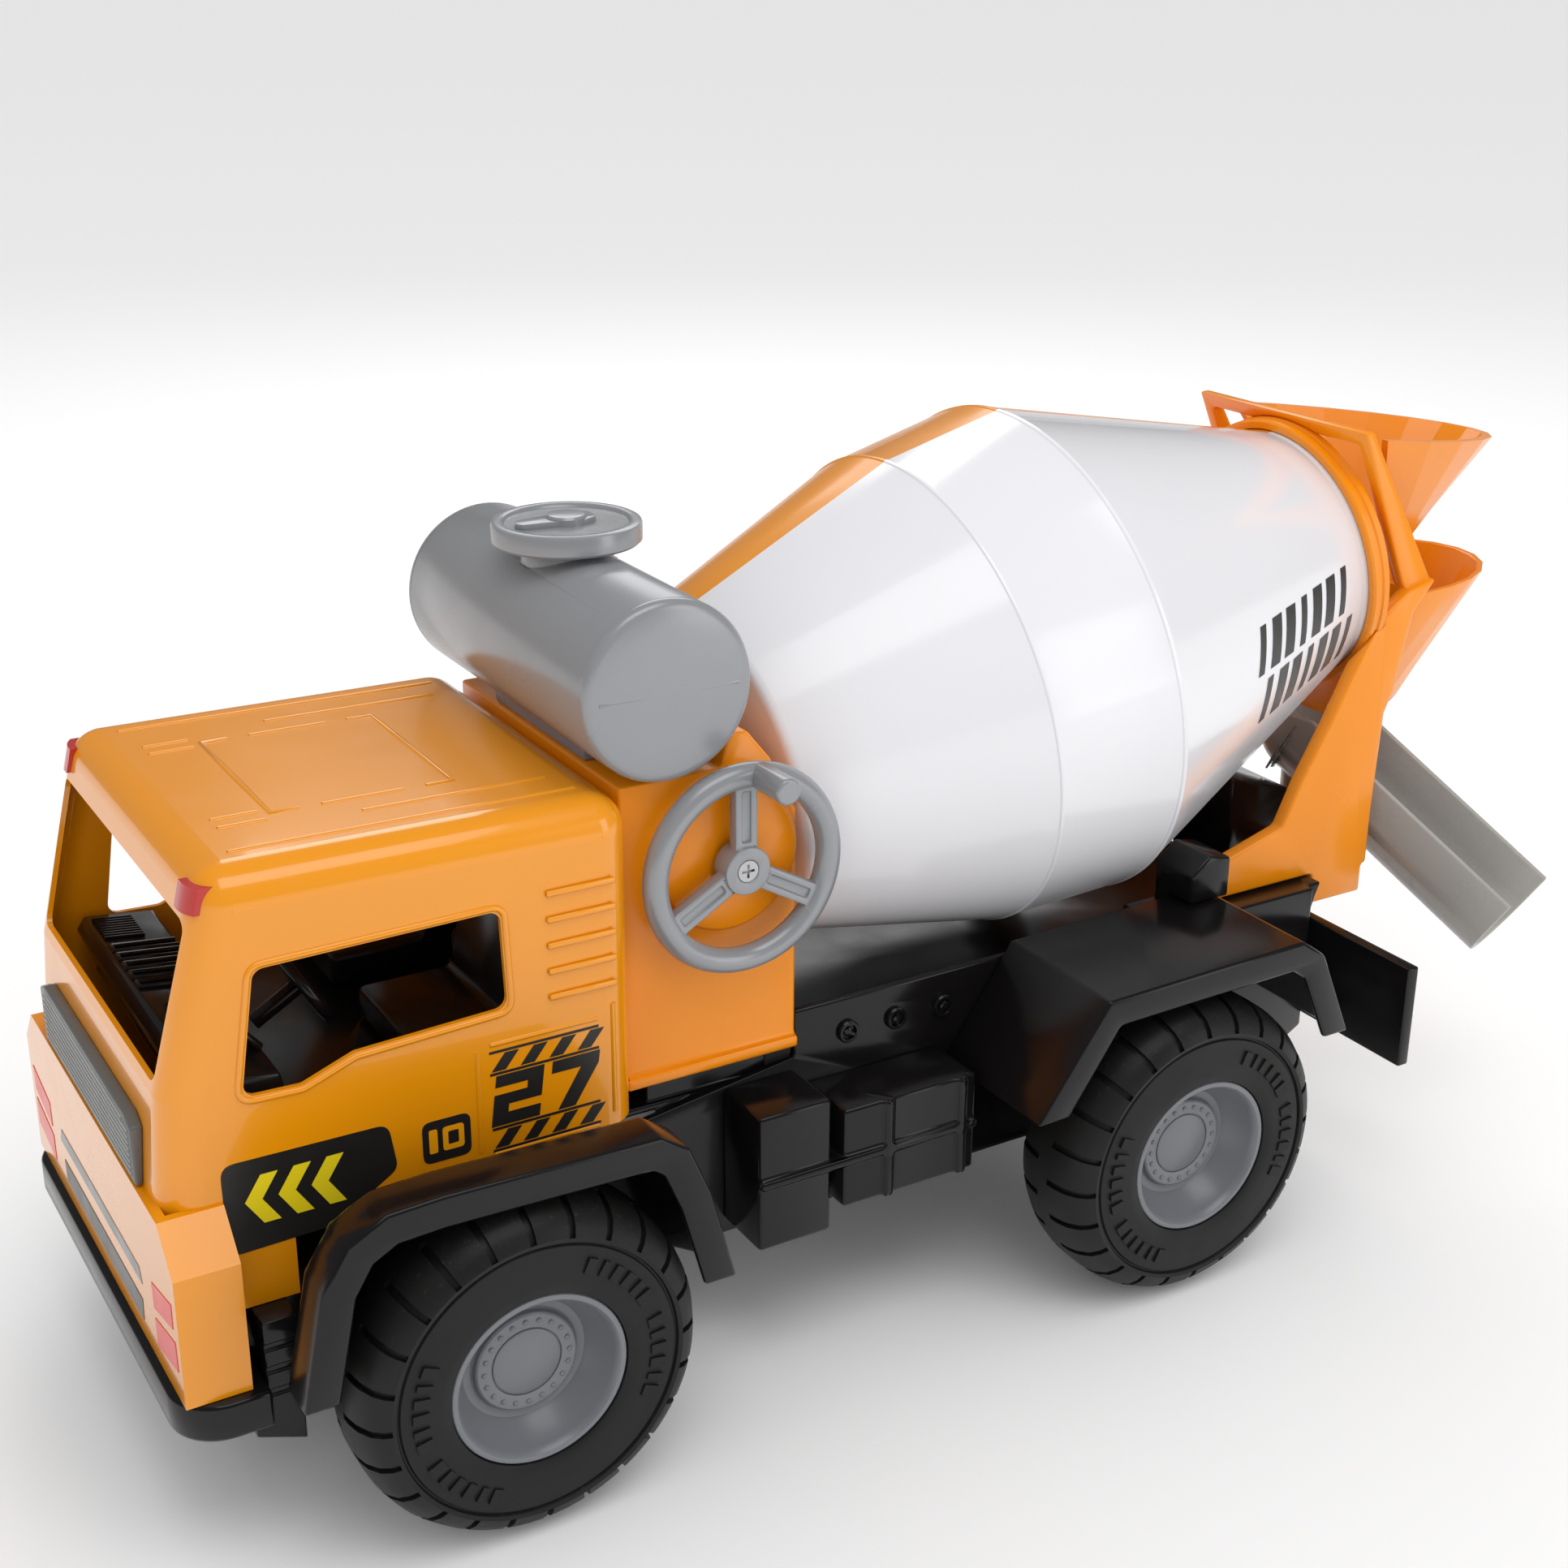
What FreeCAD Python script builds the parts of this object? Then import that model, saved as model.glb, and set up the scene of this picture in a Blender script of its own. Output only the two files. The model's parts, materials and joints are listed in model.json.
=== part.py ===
import FreeCAD, Part
import math
import os

V = FreeCAD.Vector
X, Y, Z = V(1, 0, 0), V(0, 1, 0), V(0, 0, 1)

# Toy cement mixer truck. +X is forward, +Y the truck's left, +Z up, mm.
# The origin is on the floor, under the middle of the whole truck.

# ---- clearances
run_gap = 0.05          # radial gap of a shaft in its bore
move_gap = 0.3          # gap between a moving piece and its neighbour

# ---- running gear
wheelbase = 178.0
front_axle_x = 134.0
rear_axle_x = front_axle_x - wheelbase
tyre_r = 39.2
tyre_w = 28.0
tyre_inner_y = 57.2
tyre_crown = 1.2        # how much the tread falls at its shoulders
rim_r = 20.0
rim_wall = 1.6
rim_sink = 1.4          # hub edge below the tyre's side
dish_deep = 9.0
axle_r = 2.5
bush_wall = 2.5
bush_lip = 1.5

# ---- chassis
chassis_half = 41.9
chassis_wall = 2.2
chassis_low = 30.0
tail_x = -116.0
nose_x = 186.0
deck_z = 69.0           # floor of the open well
rail_z = 73.0
well_top_z = 84.1
well_rear_x = -21.0
nose_deck_z = 49.8
nose_deck_len = 62.0
rib_from_axle_rear = 34.0
rib_from_axle_front = 60.0
tail_plate_half = 76.5
tail_plate_low, tail_plate_top = 40.3, 69.0
tail_plate_t = 3.6
tail_plate_gap = 2.0

# ---- fenders
fender_t = 2.4
fender_lip = 7.5
fender_edge_in = 3.8    # fender's outer edge inside the tyre's outer side
fender_reach = tyre_inner_y + tyre_w - fender_edge_in
rear_fender_low = 60.0
front_fender_low = 47.0
fender_root = 0.71      # the front arch's size where it leaves the chassis, against its full size
fender_wall_share = 0.95
fender_full_y = tyre_inner_y + 13.8     # where the front arch has widened to its full size

# ---- side boxes and control discs
side_box_half = 58.9
side_box_gap = 1.5      # from the rear fender's leg to the rear box
box_from_axle = 66.8    # front box's front face behind the front axle
box_split = 0.65        # where the gap between the two boxes lies
box_gap = 3.5
box_ribs = (0.08, 0.64)
rear_box_low, rear_box_top = 38.8, 64.7
front_box_low, front_box_top = 34.0, 69.0
strap_low, strap_top = 50.4, 52.7
strap_proud = 1.2
disc_r, disc_t, disc_z = 2.9, 1.6, 75.4
disc_places = (0.20, 0.46, 0.72)    # along the wall from the rear fender to the housing

# ---- bumper and step panels
bumper_front_x, bumper_rear_x = 203.2, 184.2
bumper_half = 63.0
bumper_low, bumper_top = 33.2, 41.8
bumper_round = 11.0
step_rear_x, step_front_x = 176.4, 184.0
step_low, step_top = 24.0, 54.8
step_in_y, step_out_y = 43.0, 58.0

# ---- cab
cab_half = 51.2
cab_rear_x = 93.2
cab_low_z = 73.6
cab_rear_top_z = 150.2
cab_roof_z = 151.4
cab_wall = 1.2
cab_round = 8.0
window_round = 2.6
roof_front_x = 185.8
brow_x, brow_z = 197.6, 104.6
grille_low_x, grille_low_z = 199.8, 79.0
skirt_half = 60.5
skirt_front_x, skirt_rear_x = 201.4, 187.6
skirt_low, skirt_crease = 42.0, 81.0
tray_z, tray_t = 90.0, 2.0
seat_w = 30.0
lamp_w, lamp_t = 7.0, 0.9
louvre_low, louvre_pitch = 108.0, 6.0
steering_r = 9.0

# ---- drum housing
house_rear_x, house_front_x = 48.2, 92.9
house_half = 42.6
house_wall = 2.0
house_low_z, house_top_z = 79.0, 149.0
shoulder_z = 156.5
boss_r = 17.0           # round plate behind the handwheel
boss_t = 1.6

# ---- drum
drum_pitch = 9.5        # degrees, rising rearwards
hub_x = 66.1            # where the drum axis meets the handwheel shaft
hub_z = 127.5
drum_wall = 2.0
front_s, front_r = 20.5, 42.2
band1_s, band1_r = 79.3, 61.5
band2_s, band2_r = 113.0, 65.1
mouth_s, mouth_r = 198.9, 35.1
neck_len = 4.0
stub_r = 4.0
blade_deep, blade_t = 14.0, 1.8

# ---- drive
pinion_teeth = 10
crown_teeth = 30
pinion_pitch_r = 6.0
crown_pitch_r = pinion_pitch_r * crown_teeth / pinion_teeth
addendum, dedendum = 0.9, 1.4
gear_face = 2.8
crown_t = 2.0
shaft_r = 3.0

# ---- handwheel
wheel_y = 49.6
handwheel_r = 24.8
handwheel_tube = 2.9
handwheel_boss_r = 5.6
spoke_w, spoke_t = 5.4, 3.2
peg_angle = 100.0       # degrees up from forward
peg_r, peg_len = 3.1, 13.4

# ---- tank
tank_x = 83.2
tank_r = 20.2
tank_wall = 1.8
tank_half = 48.0
saddle_h = 1.5
saddle_half = 24.0
tank_z = house_top_z + saddle_h + tank_r
neck_r = 10.5
lid_r, lid_t = 17.0, 5.0
lid_rise = 1.6          # gap under the lid
lid_travel = 1.2
lid_stem_r, lid_stem_len = 6.0, 5.0

# ---- rear frame, hopper and funnel
leg_t = 4.4
leg_inset = 4.5         # legs stand inside the drum mouth's radius
leg_in = mouth_r - leg_inset
leg_out = leg_in + leg_t
head_bar = 4.0
collar_t = 2.6
collar_len = 5.6
hopper_wall = 1.8
hopper_reach, funnel_reach = 64.0, 44.7

# ---- chute
chute_x, chute_z = -150.0, 106.0
chute_swing = 70.0      # degrees towards +Y from straight back
chute_slope = 32.0
chute_len = 76.0
chute_half = 13.5
chute_wall = 1.8
chute_rim = 10.0        # straight part of the trough's walls
chute_head_z = 113.4    # level rim under the funnel
chute_pin_r = 4.0
arm_top_z = 81.5


def box(x0, x1, y0, y1, z0, z1):
    return Part.makeBox(x1 - x0, y1 - y0, z1 - z0, V(x0, y0, z0))


def rod(r, a, b):
    return Part.makeCylinder(r, (b - a).Length, a, b - a)


def side_plate(points, y0, y1):
    """a flat plate, its outline given as (x, z) points"""
    wire = Part.makePolygon([V(x, y0, z) for x, z in points + points[:1]])
    return Part.Face(wire).extrude(V(0, y1 - y0, 0))


def end_plate(points, x0, x1):
    """a flat plate across the truck, its outline given as (y, z) points"""
    wire = Part.makePolygon([V(x0, y, z) for y, z in points + points[:1]])
    return Part.Face(wire).extrude(V(x1 - x0, 0, 0))


def inset_plate(points, inset, y0, y1):
    wire = Part.makePolygon([V(x, y0, z) for x, z in points + points[:1]])
    return Part.Face(wire).makeOffset2D(-inset).extrude(V(0, y1 - y0, 0))


def join(shapes):
    return shapes[0].multiFuse(shapes[1:]).removeSplitter()


def pair(side, y_in, y_out):
    """y limits of a piece on the left (1) or right (-1) side"""
    return sorted((side * y_in, side * y_out))


def mirrored(shape):
    return shape.mirror(V(0, 0, 0), Y)


def turned(points, centre, axis, start):
    """revolve (radius, distance along the axis) points about an axis"""
    wire = Part.makePolygon([centre + axis * d + start * r for r, d in points + points[:1]])
    return Part.Face(wire).revolve(centre, axis, 360)


def save(name, shape):
    shape.exportStep("parts/" + name + ".step")


os.makedirs("parts", exist_ok=True)

pitch = math.radians(drum_pitch)
drum_dir = V(-math.cos(pitch), 0, math.sin(pitch))
drum_up = V(math.sin(pitch), 0, math.cos(pitch))
hub = V(hub_x, 0, hub_z)


def on_drum(s):
    return hub + drum_dir * s


def by_mouth(ds, u):
    """(x, z) of a point ds behind the drum's mouth and u above its axis"""
    p = on_drum(mouth_s + ds) + drum_up * u
    return p.x, p.z


# ================= fender outlines =================
# offsets from the wheel's centre, drawn round the tyre
front_arch = [(front_axle_x + dx, tyre_r + dz) for dx, dz in (
    (53.0, -7.2), (50.0, 5.8), (44.2, 34.0), (38.5, 43.2), (30.0, 47.8), (18.0, 48.4), (-30.5, 47.3),
    (-37.0, 42.8), (-42.0, 30.8), (-48.3, 7.3), (-52.0, -7.2))]
rear_arch = [(rear_axle_x + dx, tyre_r + dz) for dx, dz in (
    (59.8, 4.8), (49.5, 20.0), (29.8, 48.8), (-30.6, 49.9), (-38.2, 44.5), (-49.9, 18.7), (-56.1, 4.8))]
rear_arch_front_x = rear_arch[1][0]

# ================= chassis =================
# an H-section moulding: side walls, a floor and a lower hollow open downwards
wall_in = chassis_half - chassis_wall
parts = []
outline = [(tail_x, chassis_low + 8), (tail_x, rail_z), (well_rear_x, rail_z), (well_rear_x, well_top_z),
           (house_rear_x - 0.2, well_top_z), (house_rear_x - 0.2, rail_z - 1), (nose_x, nose_deck_z + 2.2),
           (nose_x, chassis_low + 6), (nose_x - 12, chassis_low), (tail_x + 14, chassis_low)]
for side in (1, -1):
    parts.append(side_plate(outline, *pair(side, wall_in, chassis_half)))
step_x = nose_x - nose_deck_len
parts.append(box(tail_x, step_x, -wall_in, wall_in, deck_z - chassis_wall, deck_z))
parts.append(box(step_x, nose_x, -wall_in, wall_in, nose_deck_z - chassis_wall, nose_deck_z))
parts.append(box(step_x - 2, step_x, -wall_in, wall_in, nose_deck_z - chassis_wall, deck_z))
parts.append(box(tail_x, tail_x + chassis_wall, -wall_in, wall_in, chassis_low + 10, deck_z))
parts.append(box(nose_x - chassis_wall, nose_x, -wall_in, wall_in, chassis_low + 6, nose_deck_z))
for x in (rear_axle_x - rib_from_axle_rear, front_axle_x - rib_from_axle_front):
    parts.append(box(x, x + chassis_wall, -wall_in, wall_in, chassis_low + 4, deck_z))
# posts under the drum housing
for side in (1, -1):
    parts.append(box(house_rear_x + 5.8, house_front_x - 6.9, *pair(side, wall_in - 8.7, wall_in - 0.7),
                     deck_z, house_low_z))
# seats and front stops of the rear frame's legs
leg_seat_z = rail_z + 6.3
stop_rear_x, stop_front_x = -77.0, -64.5
seat_rear_x = tail_x - 4.9
stop_low = rear_arch[3][1] + 0.1
guard_in, guard_out = leg_out + 1.2, leg_out + 6.9
for side in (1, -1):
    parts.append(side_plate([(stop_rear_x, stop_low), (stop_rear_x, 100.0), (-70.0, 101.5),
                             (stop_front_x, 97.0), (stop_front_x, stop_low)],
                            *pair(side, guard_in, leg_out + 15.4)))
    parts.append(side_plate([(stop_front_x, deck_z), (stop_front_x, leg_seat_z), (seat_rear_x, leg_seat_z),
                             (tail_x, deck_z)], *pair(side, leg_in - 6.6, wall_in)))
    parts.append(box(tail_x, stop_front_x, *pair(side, wall_in - 3.5, guard_out), rail_z - 1, leg_seat_z))
    parts.append(box(stop_rear_x, stop_front_x, *pair(side, guard_in, guard_out), rail_z, stop_low))
chassis = join(parts)
bush_r = axle_r + bush_wall
for x in (front_axle_x, rear_axle_x):
    chassis = chassis.cut(rod(bush_r, V(x, -60, tyre_r), V(x, 60, tyre_r)))
save("chassis_frame", chassis)

# nylon bushes pressed in the chassis walls carry the axles
bushes = []
for x in (front_axle_x, rear_axle_x):
    for side in (1, -1):
        y0, y1 = side * (wall_in - 1.0), side * (chassis_half + bush_lip)
        bush = rod(bush_r, V(x, y0, tyre_r), V(x, y1, tyre_r))
        bushes.append(bush.cut(rod(axle_r + run_gap, V(x, y0 - side, tyre_r), V(x, y1 + side, tyre_r))))
save("axle_bushes", Part.makeCompound(bushes))

# ================= wheels and axles =================
hub_face = tyre_w - rim_sink
axle_end = tyre_inner_y + hub_face - dish_deep - 2.8
for name, x in (("front", front_axle_x), ("rear", rear_axle_x)):
    save(name + "_axle", rod(axle_r, V(x, -axle_end, tyre_r), V(x, axle_end, tyre_r)))
    for side_name, side in (("left", 1), ("right", -1)):
        centre = V(x, side * tyre_inner_y, tyre_r)
        out = Y * side
        tread_r = tyre_r - tyre_crown
        tyre = turned([(rim_r, 2.0), (rim_r + 6, 0.6), (tyre_r - 7, 0.0), (tread_r, 4.5), (tyre_r, 9.5),
                       (tyre_r, tyre_w - 9.5), (tread_r, tyre_w - 4.5), (tyre_r - 6.2, tyre_w - 0.4),
                       (tyre_r - 7.8, tyre_w - 1.0), (rim_r + 3, tyre_w - 0.2), (rim_r, tyre_w - 1.2)],
                      centre, out, Z)
        save("%s_tyre_%s" % (name, side_name), tyre)
        dish = hub_face - dish_deep
        hubcap = turned([(axle_r, 4.0), (rim_r, 4.0), (rim_r, hub_face), (rim_r - rim_wall, hub_face),
                         (rim_r - 2.8, hub_face - 3.6), (13.2, dish + 1.4), (12.4, dish + 1.0),
                         (8.2, dish + 1.0), (7.6, dish), (axle_r, dish)], centre, out, Z)
        save("%s_hub_%s" % (name, side_name), hubcap)

# ================= front end =================
# bumper: a square bar that wraps round the corners
bar = box(bumper_rear_x, bumper_front_x, -bumper_half, bumper_half, bumper_low, bumper_top)
corners = [e for e in bar.Edges if abs(e.Length - (bumper_top - bumper_low)) < 0.01
           and e.CenterOfMass.x > bumper_front_x - 1]
bar = bar.makeFillet(bumper_round, corners)
save("bumper", bar.cut(box(bumper_rear_x - 1, bumper_rear_x + 4.8, -chassis_half - 2, chassis_half + 2,
                           bumper_low - 1, bumper_top + 1)))

# black step panels between the bumper and the front fenders
for side_name, side in (("left", 1), ("right", -1)):
    panel = side_plate([(step_rear_x, step_low), (step_front_x + 3, step_low + 4),
                        (step_front_x + 3, bumper_low - 0.2), (step_front_x, bumper_low - 0.2),
                        (step_front_x, step_top), (step_rear_x, step_top)], *pair(side, step_in_y, step_out_y))
    for z in (37.0, 42.5, 48.0):
        y0, y1 = pair(side, step_out_y - 0.6, step_out_y + 0.1)
        panel = panel.cut(box(step_rear_x - 1, step_front_x + 0.1, y0, y1, z, z + 1.6))
    save("step_panel_" + side_name, panel)

# ================= fenders =================
def arch_wire(size, y):
    loop = [V(front_axle_x + (x - front_axle_x) * size, y, tyre_r + (z - tyre_r) * size) for x, z in front_arch]
    return Part.makePolygon(loop + loop[:1])


def flared_arch(root, full, y_out):
    """the front arch: small under the cab's edge, widening over the tyre"""
    flange = Part.Face(arch_wire(root, chassis_half)).extrude(V(0, cab_half + 0.1 - chassis_half, 0))
    flare = Part.makeLoft([arch_wire(root, cab_half + 0.1), arch_wire(full, fender_full_y)], True, True)
    return join([flange, flare, Part.Face(arch_wire(full, fender_full_y)).extrude(V(0, y_out - fender_full_y, 0))])


for name, arch, low in (("front", front_arch, front_fender_low), ("rear", rear_arch, rear_fender_low)):
    if name == "front":
        fender = flared_arch(fender_root, 1.0, fender_reach)
        hollow = flared_arch(fender_root * 0.93, fender_wall_share, fender_reach - 1.8)
        fender = fender.cut(hollow)
        for y in (chassis_half - 1.0, cab_half):
            fender = fender.cut(Part.Face(arch_wire(fender_root * 0.93, y)).extrude(V(0, 1.2, 0)))
    else:
        fender = side_plate(arch, chassis_half, fender_reach)
        fender = fender.cut(inset_plate(arch, fender_t, chassis_half - 1, fender_reach - 1.8))
    fender = fender.cut(inset_plate(arch, fender_lip, fender_reach - 2.0, fender_reach + 1))
    fender = fender.cut(box(-200, 250, 0, 120, 0, low))
    fender = fender.cut(box(step_rear_x - 0.1, 200.0, 40.0, step_out_y + 0.05, 0, step_top + 0.2))
    # the rear one is notched round the rear frame's leg and its guard
    fender = fender.cut(chassis).cut(box(tail_x, stop_rear_x, leg_in, leg_out + move_gap, leg_seat_z, 110))
    save(name + "_fender_left", fender)
    save(name + "_fender_right", mirrored(fender))

# ================= chassis side boxes =================
rear_box_x = rear_arch_front_x + side_box_gap
front_box_x1 = front_axle_x - box_from_axle
split_x = rear_box_x + (front_box_x1 - rear_box_x) * box_split
rear_box_front_x, front_box_x0 = split_x - box_gap / 2, split_x + box_gap / 2
for side_name, side in (("left", 1), ("right", -1)):
    proud = side_box_half + strap_proud
    parts = [box(front_box_x0, front_box_x1, chassis_half, side_box_half, front_box_low, front_box_top),
             box(rear_box_x, rear_box_front_x, chassis_half, side_box_half, rear_box_low, rear_box_top),
             box(rear_box_x, front_box_x1, chassis_half, proud, strap_low, strap_top)]
    for share in box_ribs:
        x = rear_box_x + (rear_box_front_x - rear_box_x) * share
        parts.append(box(x, x + 2.4, chassis_half, proud, rear_box_low, rear_box_top))
    body = join(parts)
    save("side_box_" + side_name, body if side > 0 else mirrored(body))

# slotted control discs on the chassis wall, three on each side
discs = []
wall_x = rear_axle_x + 39.4
for side in (1, -1):
    for share in disc_places:
        x = wall_x + (house_rear_x - wall_x) * share
        disc = rod(disc_r, V(x, side * chassis_half, disc_z), V(x, side * (chassis_half + disc_t), disc_z))
        y0, y1 = pair(side, chassis_half + disc_t - 0.7, chassis_half + disc_t + 1)
        discs.append(disc.cut(box(x - 3, x + 3, y0, y1, disc_z - 0.4, disc_z + 0.4)))
save("control_discs", Part.makeCompound(discs))

# rear plate across the tail, on two braces
plate_x = tail_x - tail_plate_gap
tail = box(plate_x - tail_plate_t, plate_x, -tail_plate_half, tail_plate_half, tail_plate_low, tail_plate_top)
tail = tail.cut(box(plate_x - tail_plate_t - 1, plate_x - tail_plate_t + 2, -tail_plate_half + 3,
                    tail_plate_half - 3, tail_plate_low + 3, tail_plate_top - 3))
braces = [box(plate_x, tail_x, *pair(side, 24.0, 34.0), 44.0, 64.0) for side in (1, -1)]
save("rear_plate", join([tail] + braces))

# ================= battery bay and sound =================
bay_x0 = rear_axle_x + 24.0
bay_x1 = bay_x0 + 64.0
save("battery_door", box(bay_x0, bay_x1, -wall_in, wall_in, chassis_low + 0.5, chassis_low + 2.7))
cell_r, cell_len = 7.0, 50.0
cells = [rod(cell_r, V(bay_x0 + 6, y, 41.0), V(bay_x0 + 6 + cell_len, y, 41.0)) for y in (-9.0, 9.0)]
save("batteries", Part.makeCompound(cells))
shelf = [box(bay_x0, bay_x1, -20.0, 20.0, 48.5, 50.5)]
shelf += [box(bay_x0, bay_x1, y, y + 2, 50.5, deck_z - chassis_wall) for y in (-20.0, 18.0)]
save("battery_tray", join(shelf))
save("circuit_board", box(bay_x0 + 8, bay_x0 + 46, -15.0, 15.0, 60.0, 61.6))
save("speaker", turned([(0, 0), (12.0, 0), (12.0, 3.0), (6.0, 8.0), (0, 8.0)], V(front_axle_x - 74, 0, 52.0), Z, X))
heads = []
for x in (tail_x + 12.0, tail_x + 54.0, step_x - 28.0):
    for side in (1, -1):
        heads.append(rod(3.0, V(x, side * 28.0, deck_z - chassis_wall - 2), V(x, side * 28.0, deck_z - chassis_wall)))
save("chassis_screws", Part.makeCompound(heads))

# ================= cab =================
# a pressed steel shell with large corner radii, open underneath
cab_side = [(cab_rear_x, cab_low_z - 3.6), (cab_rear_x, cab_rear_top_z), (roof_front_x, cab_roof_z),
            (brow_x, brow_z), (grille_low_x, grille_low_z), (grille_low_x + 0.8, 50.0), (182.0, 50.0)]


def cab_block(inset, low):
    solid = inset_plate(cab_side, inset, -cab_half + inset, cab_half - inset) if inset \
        else side_plate(cab_side, -cab_half, cab_half)
    edges = []
    for e in solid.Edges:
        c = e.CenterOfMass
        across = abs(c.y) < 1 and c.z > cab_rear_top_z - 12
        flank = abs(abs(c.y) - cab_half + inset) < 0.01 and c.z > cab_low_z + 0.4 + inset
        if across or flank:
            edges.append(e)
    solid = solid.makeFillet(cab_round - inset, edges)
    return solid.common(box(0, 300, -cab_half - 5, cab_half + 5, low, 300))


cab = cab_block(0, cab_low_z).cut(cab_block(cab_wall, 60.0))
# the lower front: a flared skirt that carries the headlamps
flare_z = skirt_crease - 9.0
neck_half = cab_half + 0.8
skirt_out = end_plate([(-skirt_half, skirt_low), (skirt_half, skirt_low), (skirt_half, flare_z),
                       (neck_half, skirt_crease), (-neck_half, skirt_crease), (-skirt_half, flare_z)],
                      skirt_rear_x, skirt_front_x)
half_in = skirt_half - cab_wall
skirt_in = end_plate([(-half_in, skirt_low - 1), (half_in, skirt_low - 1), (half_in, flare_z - 0.6),
                      (neck_half - 2, skirt_crease - 1), (2 - neck_half, skirt_crease - 1),
                      (-half_in, flare_z - 0.6)], skirt_rear_x - 0.6, skirt_front_x - cab_wall)
skirt = skirt_out.cut(skirt_in).cut(box(180, skirt_front_x - 2.4, -50.0, 50.0, skirt_low - 1, 100))
parts = [cab, skirt]
for side in (1, -1):
    parts.append(side_plate([(173.4, step_top + 0.2), (skirt_rear_x, step_top + 0.2), (skirt_rear_x, 74.0),
                             (173.4, 74.0)], *pair(side, cab_half - cab_wall, cab_half)))
cab = join(parts)
window = side_plate([(177.4, 130.4), (125.0, 131.2), (124.1, 108.6), (157.9, 107.1), (169.3, 102.8),
                     (181.7, 103.2)], -cab_half - 5, cab_half + 5)
window = window.makeFillet(window_round, [e for e in window.Edges if abs(e.CenterOfMass.y) < 1])
cab = cab.cut(window)
screen_half = cab_half - 5.7
screen = end_plate([(-screen_half, 141.0), (screen_half, 141.0), (screen_half - 2, 107.0),
                    (2 - screen_half, 107.0)], roof_front_x - 3.4, 210.0)
screen = screen.makeFillet(window_round, [e for e in screen.Edges if 199 > e.CenterOfMass.x > 190])
cab = cab.cut(screen)
save("cab_shell", cab)

# five raised louvres on each cab side
louvres = []
for side in (1, -1):
    for i in range(5):
        z = louvre_low + i * louvre_pitch
        louvres.append(box(cab_rear_x + 5.4, cab_rear_x + 21.4, *pair(side, cab_half, cab_half + 0.9), z, z + 1.4))
save("cab_louvres", Part.makeCompound(louvres))

# grille panel on the nose
grille_half = 37.3
grille = end_plate([(-grille_half, 94.9), (4.3 - grille_half, 96.5), (grille_half - 4.3, 96.5),
                    (grille_half, 94.9), (grille_half, skirt_crease + 0.5), (-grille_half, skirt_crease + 0.5)],
                   brow_x - 7, skirt_front_x - 0.2)
save("grille_panel", grille.cut(side_plate([(brow_x - 8, 40), (brow_x - 8, 110), (brow_x, brow_z),
                                            (grille_low_x, grille_low_z), (grille_low_x, 40)], -60, 60)))

# red marker lamps wrap over the roof's front corners
lamp_skin = cab_block(-lamp_t, 130.0).cut(cab_block(0, 120.0))
lamps = []
for side in (1, -1):
    y0, y1 = pair(side, screen_half - 4, screen_half - 4 + lamp_w)
    lamps.append(lamp_skin.common(box(roof_front_x - 6, roof_front_x + 6, y0, y1, 143.0, 148.4)))
save("roof_markers", Part.makeCompound(lamps))

# black cab interior: floor tray, dashboard, seats and steering wheel
tray_half = cab_half - 2.7
tray = box(cab_rear_x + 4.8, nose_x, -tray_half, tray_half, tray_z, tray_z + tray_t)
floor_z = tray_z + tray_t
dash = side_plate([(170.0, floor_z), (186.0, floor_z), (190.0, floor_z + 11), (188.0, floor_z + 14),
                   (172.0, floor_z + 12)], 2.5 - tray_half, tray_half - 2.5)
feet = [box(x, x + 3, *pair(side, 26.0, 38.0), deck_z, tray_z) for x in (100.0, 119.0) for side in (1, -1)]
save("cab_interior", join([tray, dash] + feet))
seats = []
for y0 in (-8.0 - seat_w, 8.0):
    back = side_plate([(112.0, floor_z + 8), (120.0, floor_z + 8), (115.0, floor_z + 34), (109.0, floor_z + 34),
                       (109.0, floor_z + 8)], y0, y0 + seat_w)
    seats.append(join([box(112.0, 142.0, y0, y0 + seat_w, floor_z, floor_z + 8), back]))
save("seats", Part.makeCompound(seats))
column_dir = V(-0.86, 0, 0.51)
column_base = V(171.3, 23.0, floor_z + 11.9)
top = column_base + column_dir * 14
rim = Part.makeTorus(steering_r, 1.3, top, column_dir)
spoke = rod(1.2, top - Y * (steering_r - 0.5), top + Y * (steering_r - 0.5))
save("steering_wheel", join([rim, rod(1.8, column_base + column_dir * 1.2, top), spoke]))

# ================= drum housing =================
# a moulded box behind the cab: it holds the gears, the drum's bearing and the tank
house_side = [(house_rear_x, house_low_z), (house_rear_x, 135.5), (55.0, house_top_z), (61.0, shoulder_z),
              (66.0, shoulder_z), (67.5, house_top_z), (house_front_x, house_top_z),
              (house_front_x, house_low_z)]
room_half = house_half - house_wall
room = inset_plate(house_side, house_wall, -room_half, room_half)
room = room.fuse(box(house_rear_x + house_wall, house_front_x - house_wall, -room_half, room_half,
                     house_low_z - 9, house_low_z + 11))
foot = box(house_rear_x, house_front_x, -house_half - 1.6, house_half + 1.6, house_low_z - 3, house_low_z)
foot = foot.cut(box(house_rear_x - 8, house_front_x + 8, -chassis_half, chassis_half, house_low_z - 9, house_low_z))
boss = rod(boss_r, V(hub_x, house_half, hub_z), V(hub_x, house_half + boss_t, hub_z))
sleeves = [rod(shaft_r + 3, V(hub_x, y0, hub_z), V(hub_x, y0 + 4, hub_z)) for y0 in (-room_half, room_half - 4)]
bearing = rod(stub_r + 2.6, on_drum(15.0), on_drum(19.4))
bearing = bearing.common(box(0, house_rear_x + house_wall + 0.1, -20, 20, 100, 160))
house = join([side_plate(house_side, -house_half, house_half).cut(room), foot, boss, bearing] + sleeves)
house = house.cut(rod(shaft_r + run_gap, V(hub_x, -60, hub_z), V(hub_x, 60, hub_z)))
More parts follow.
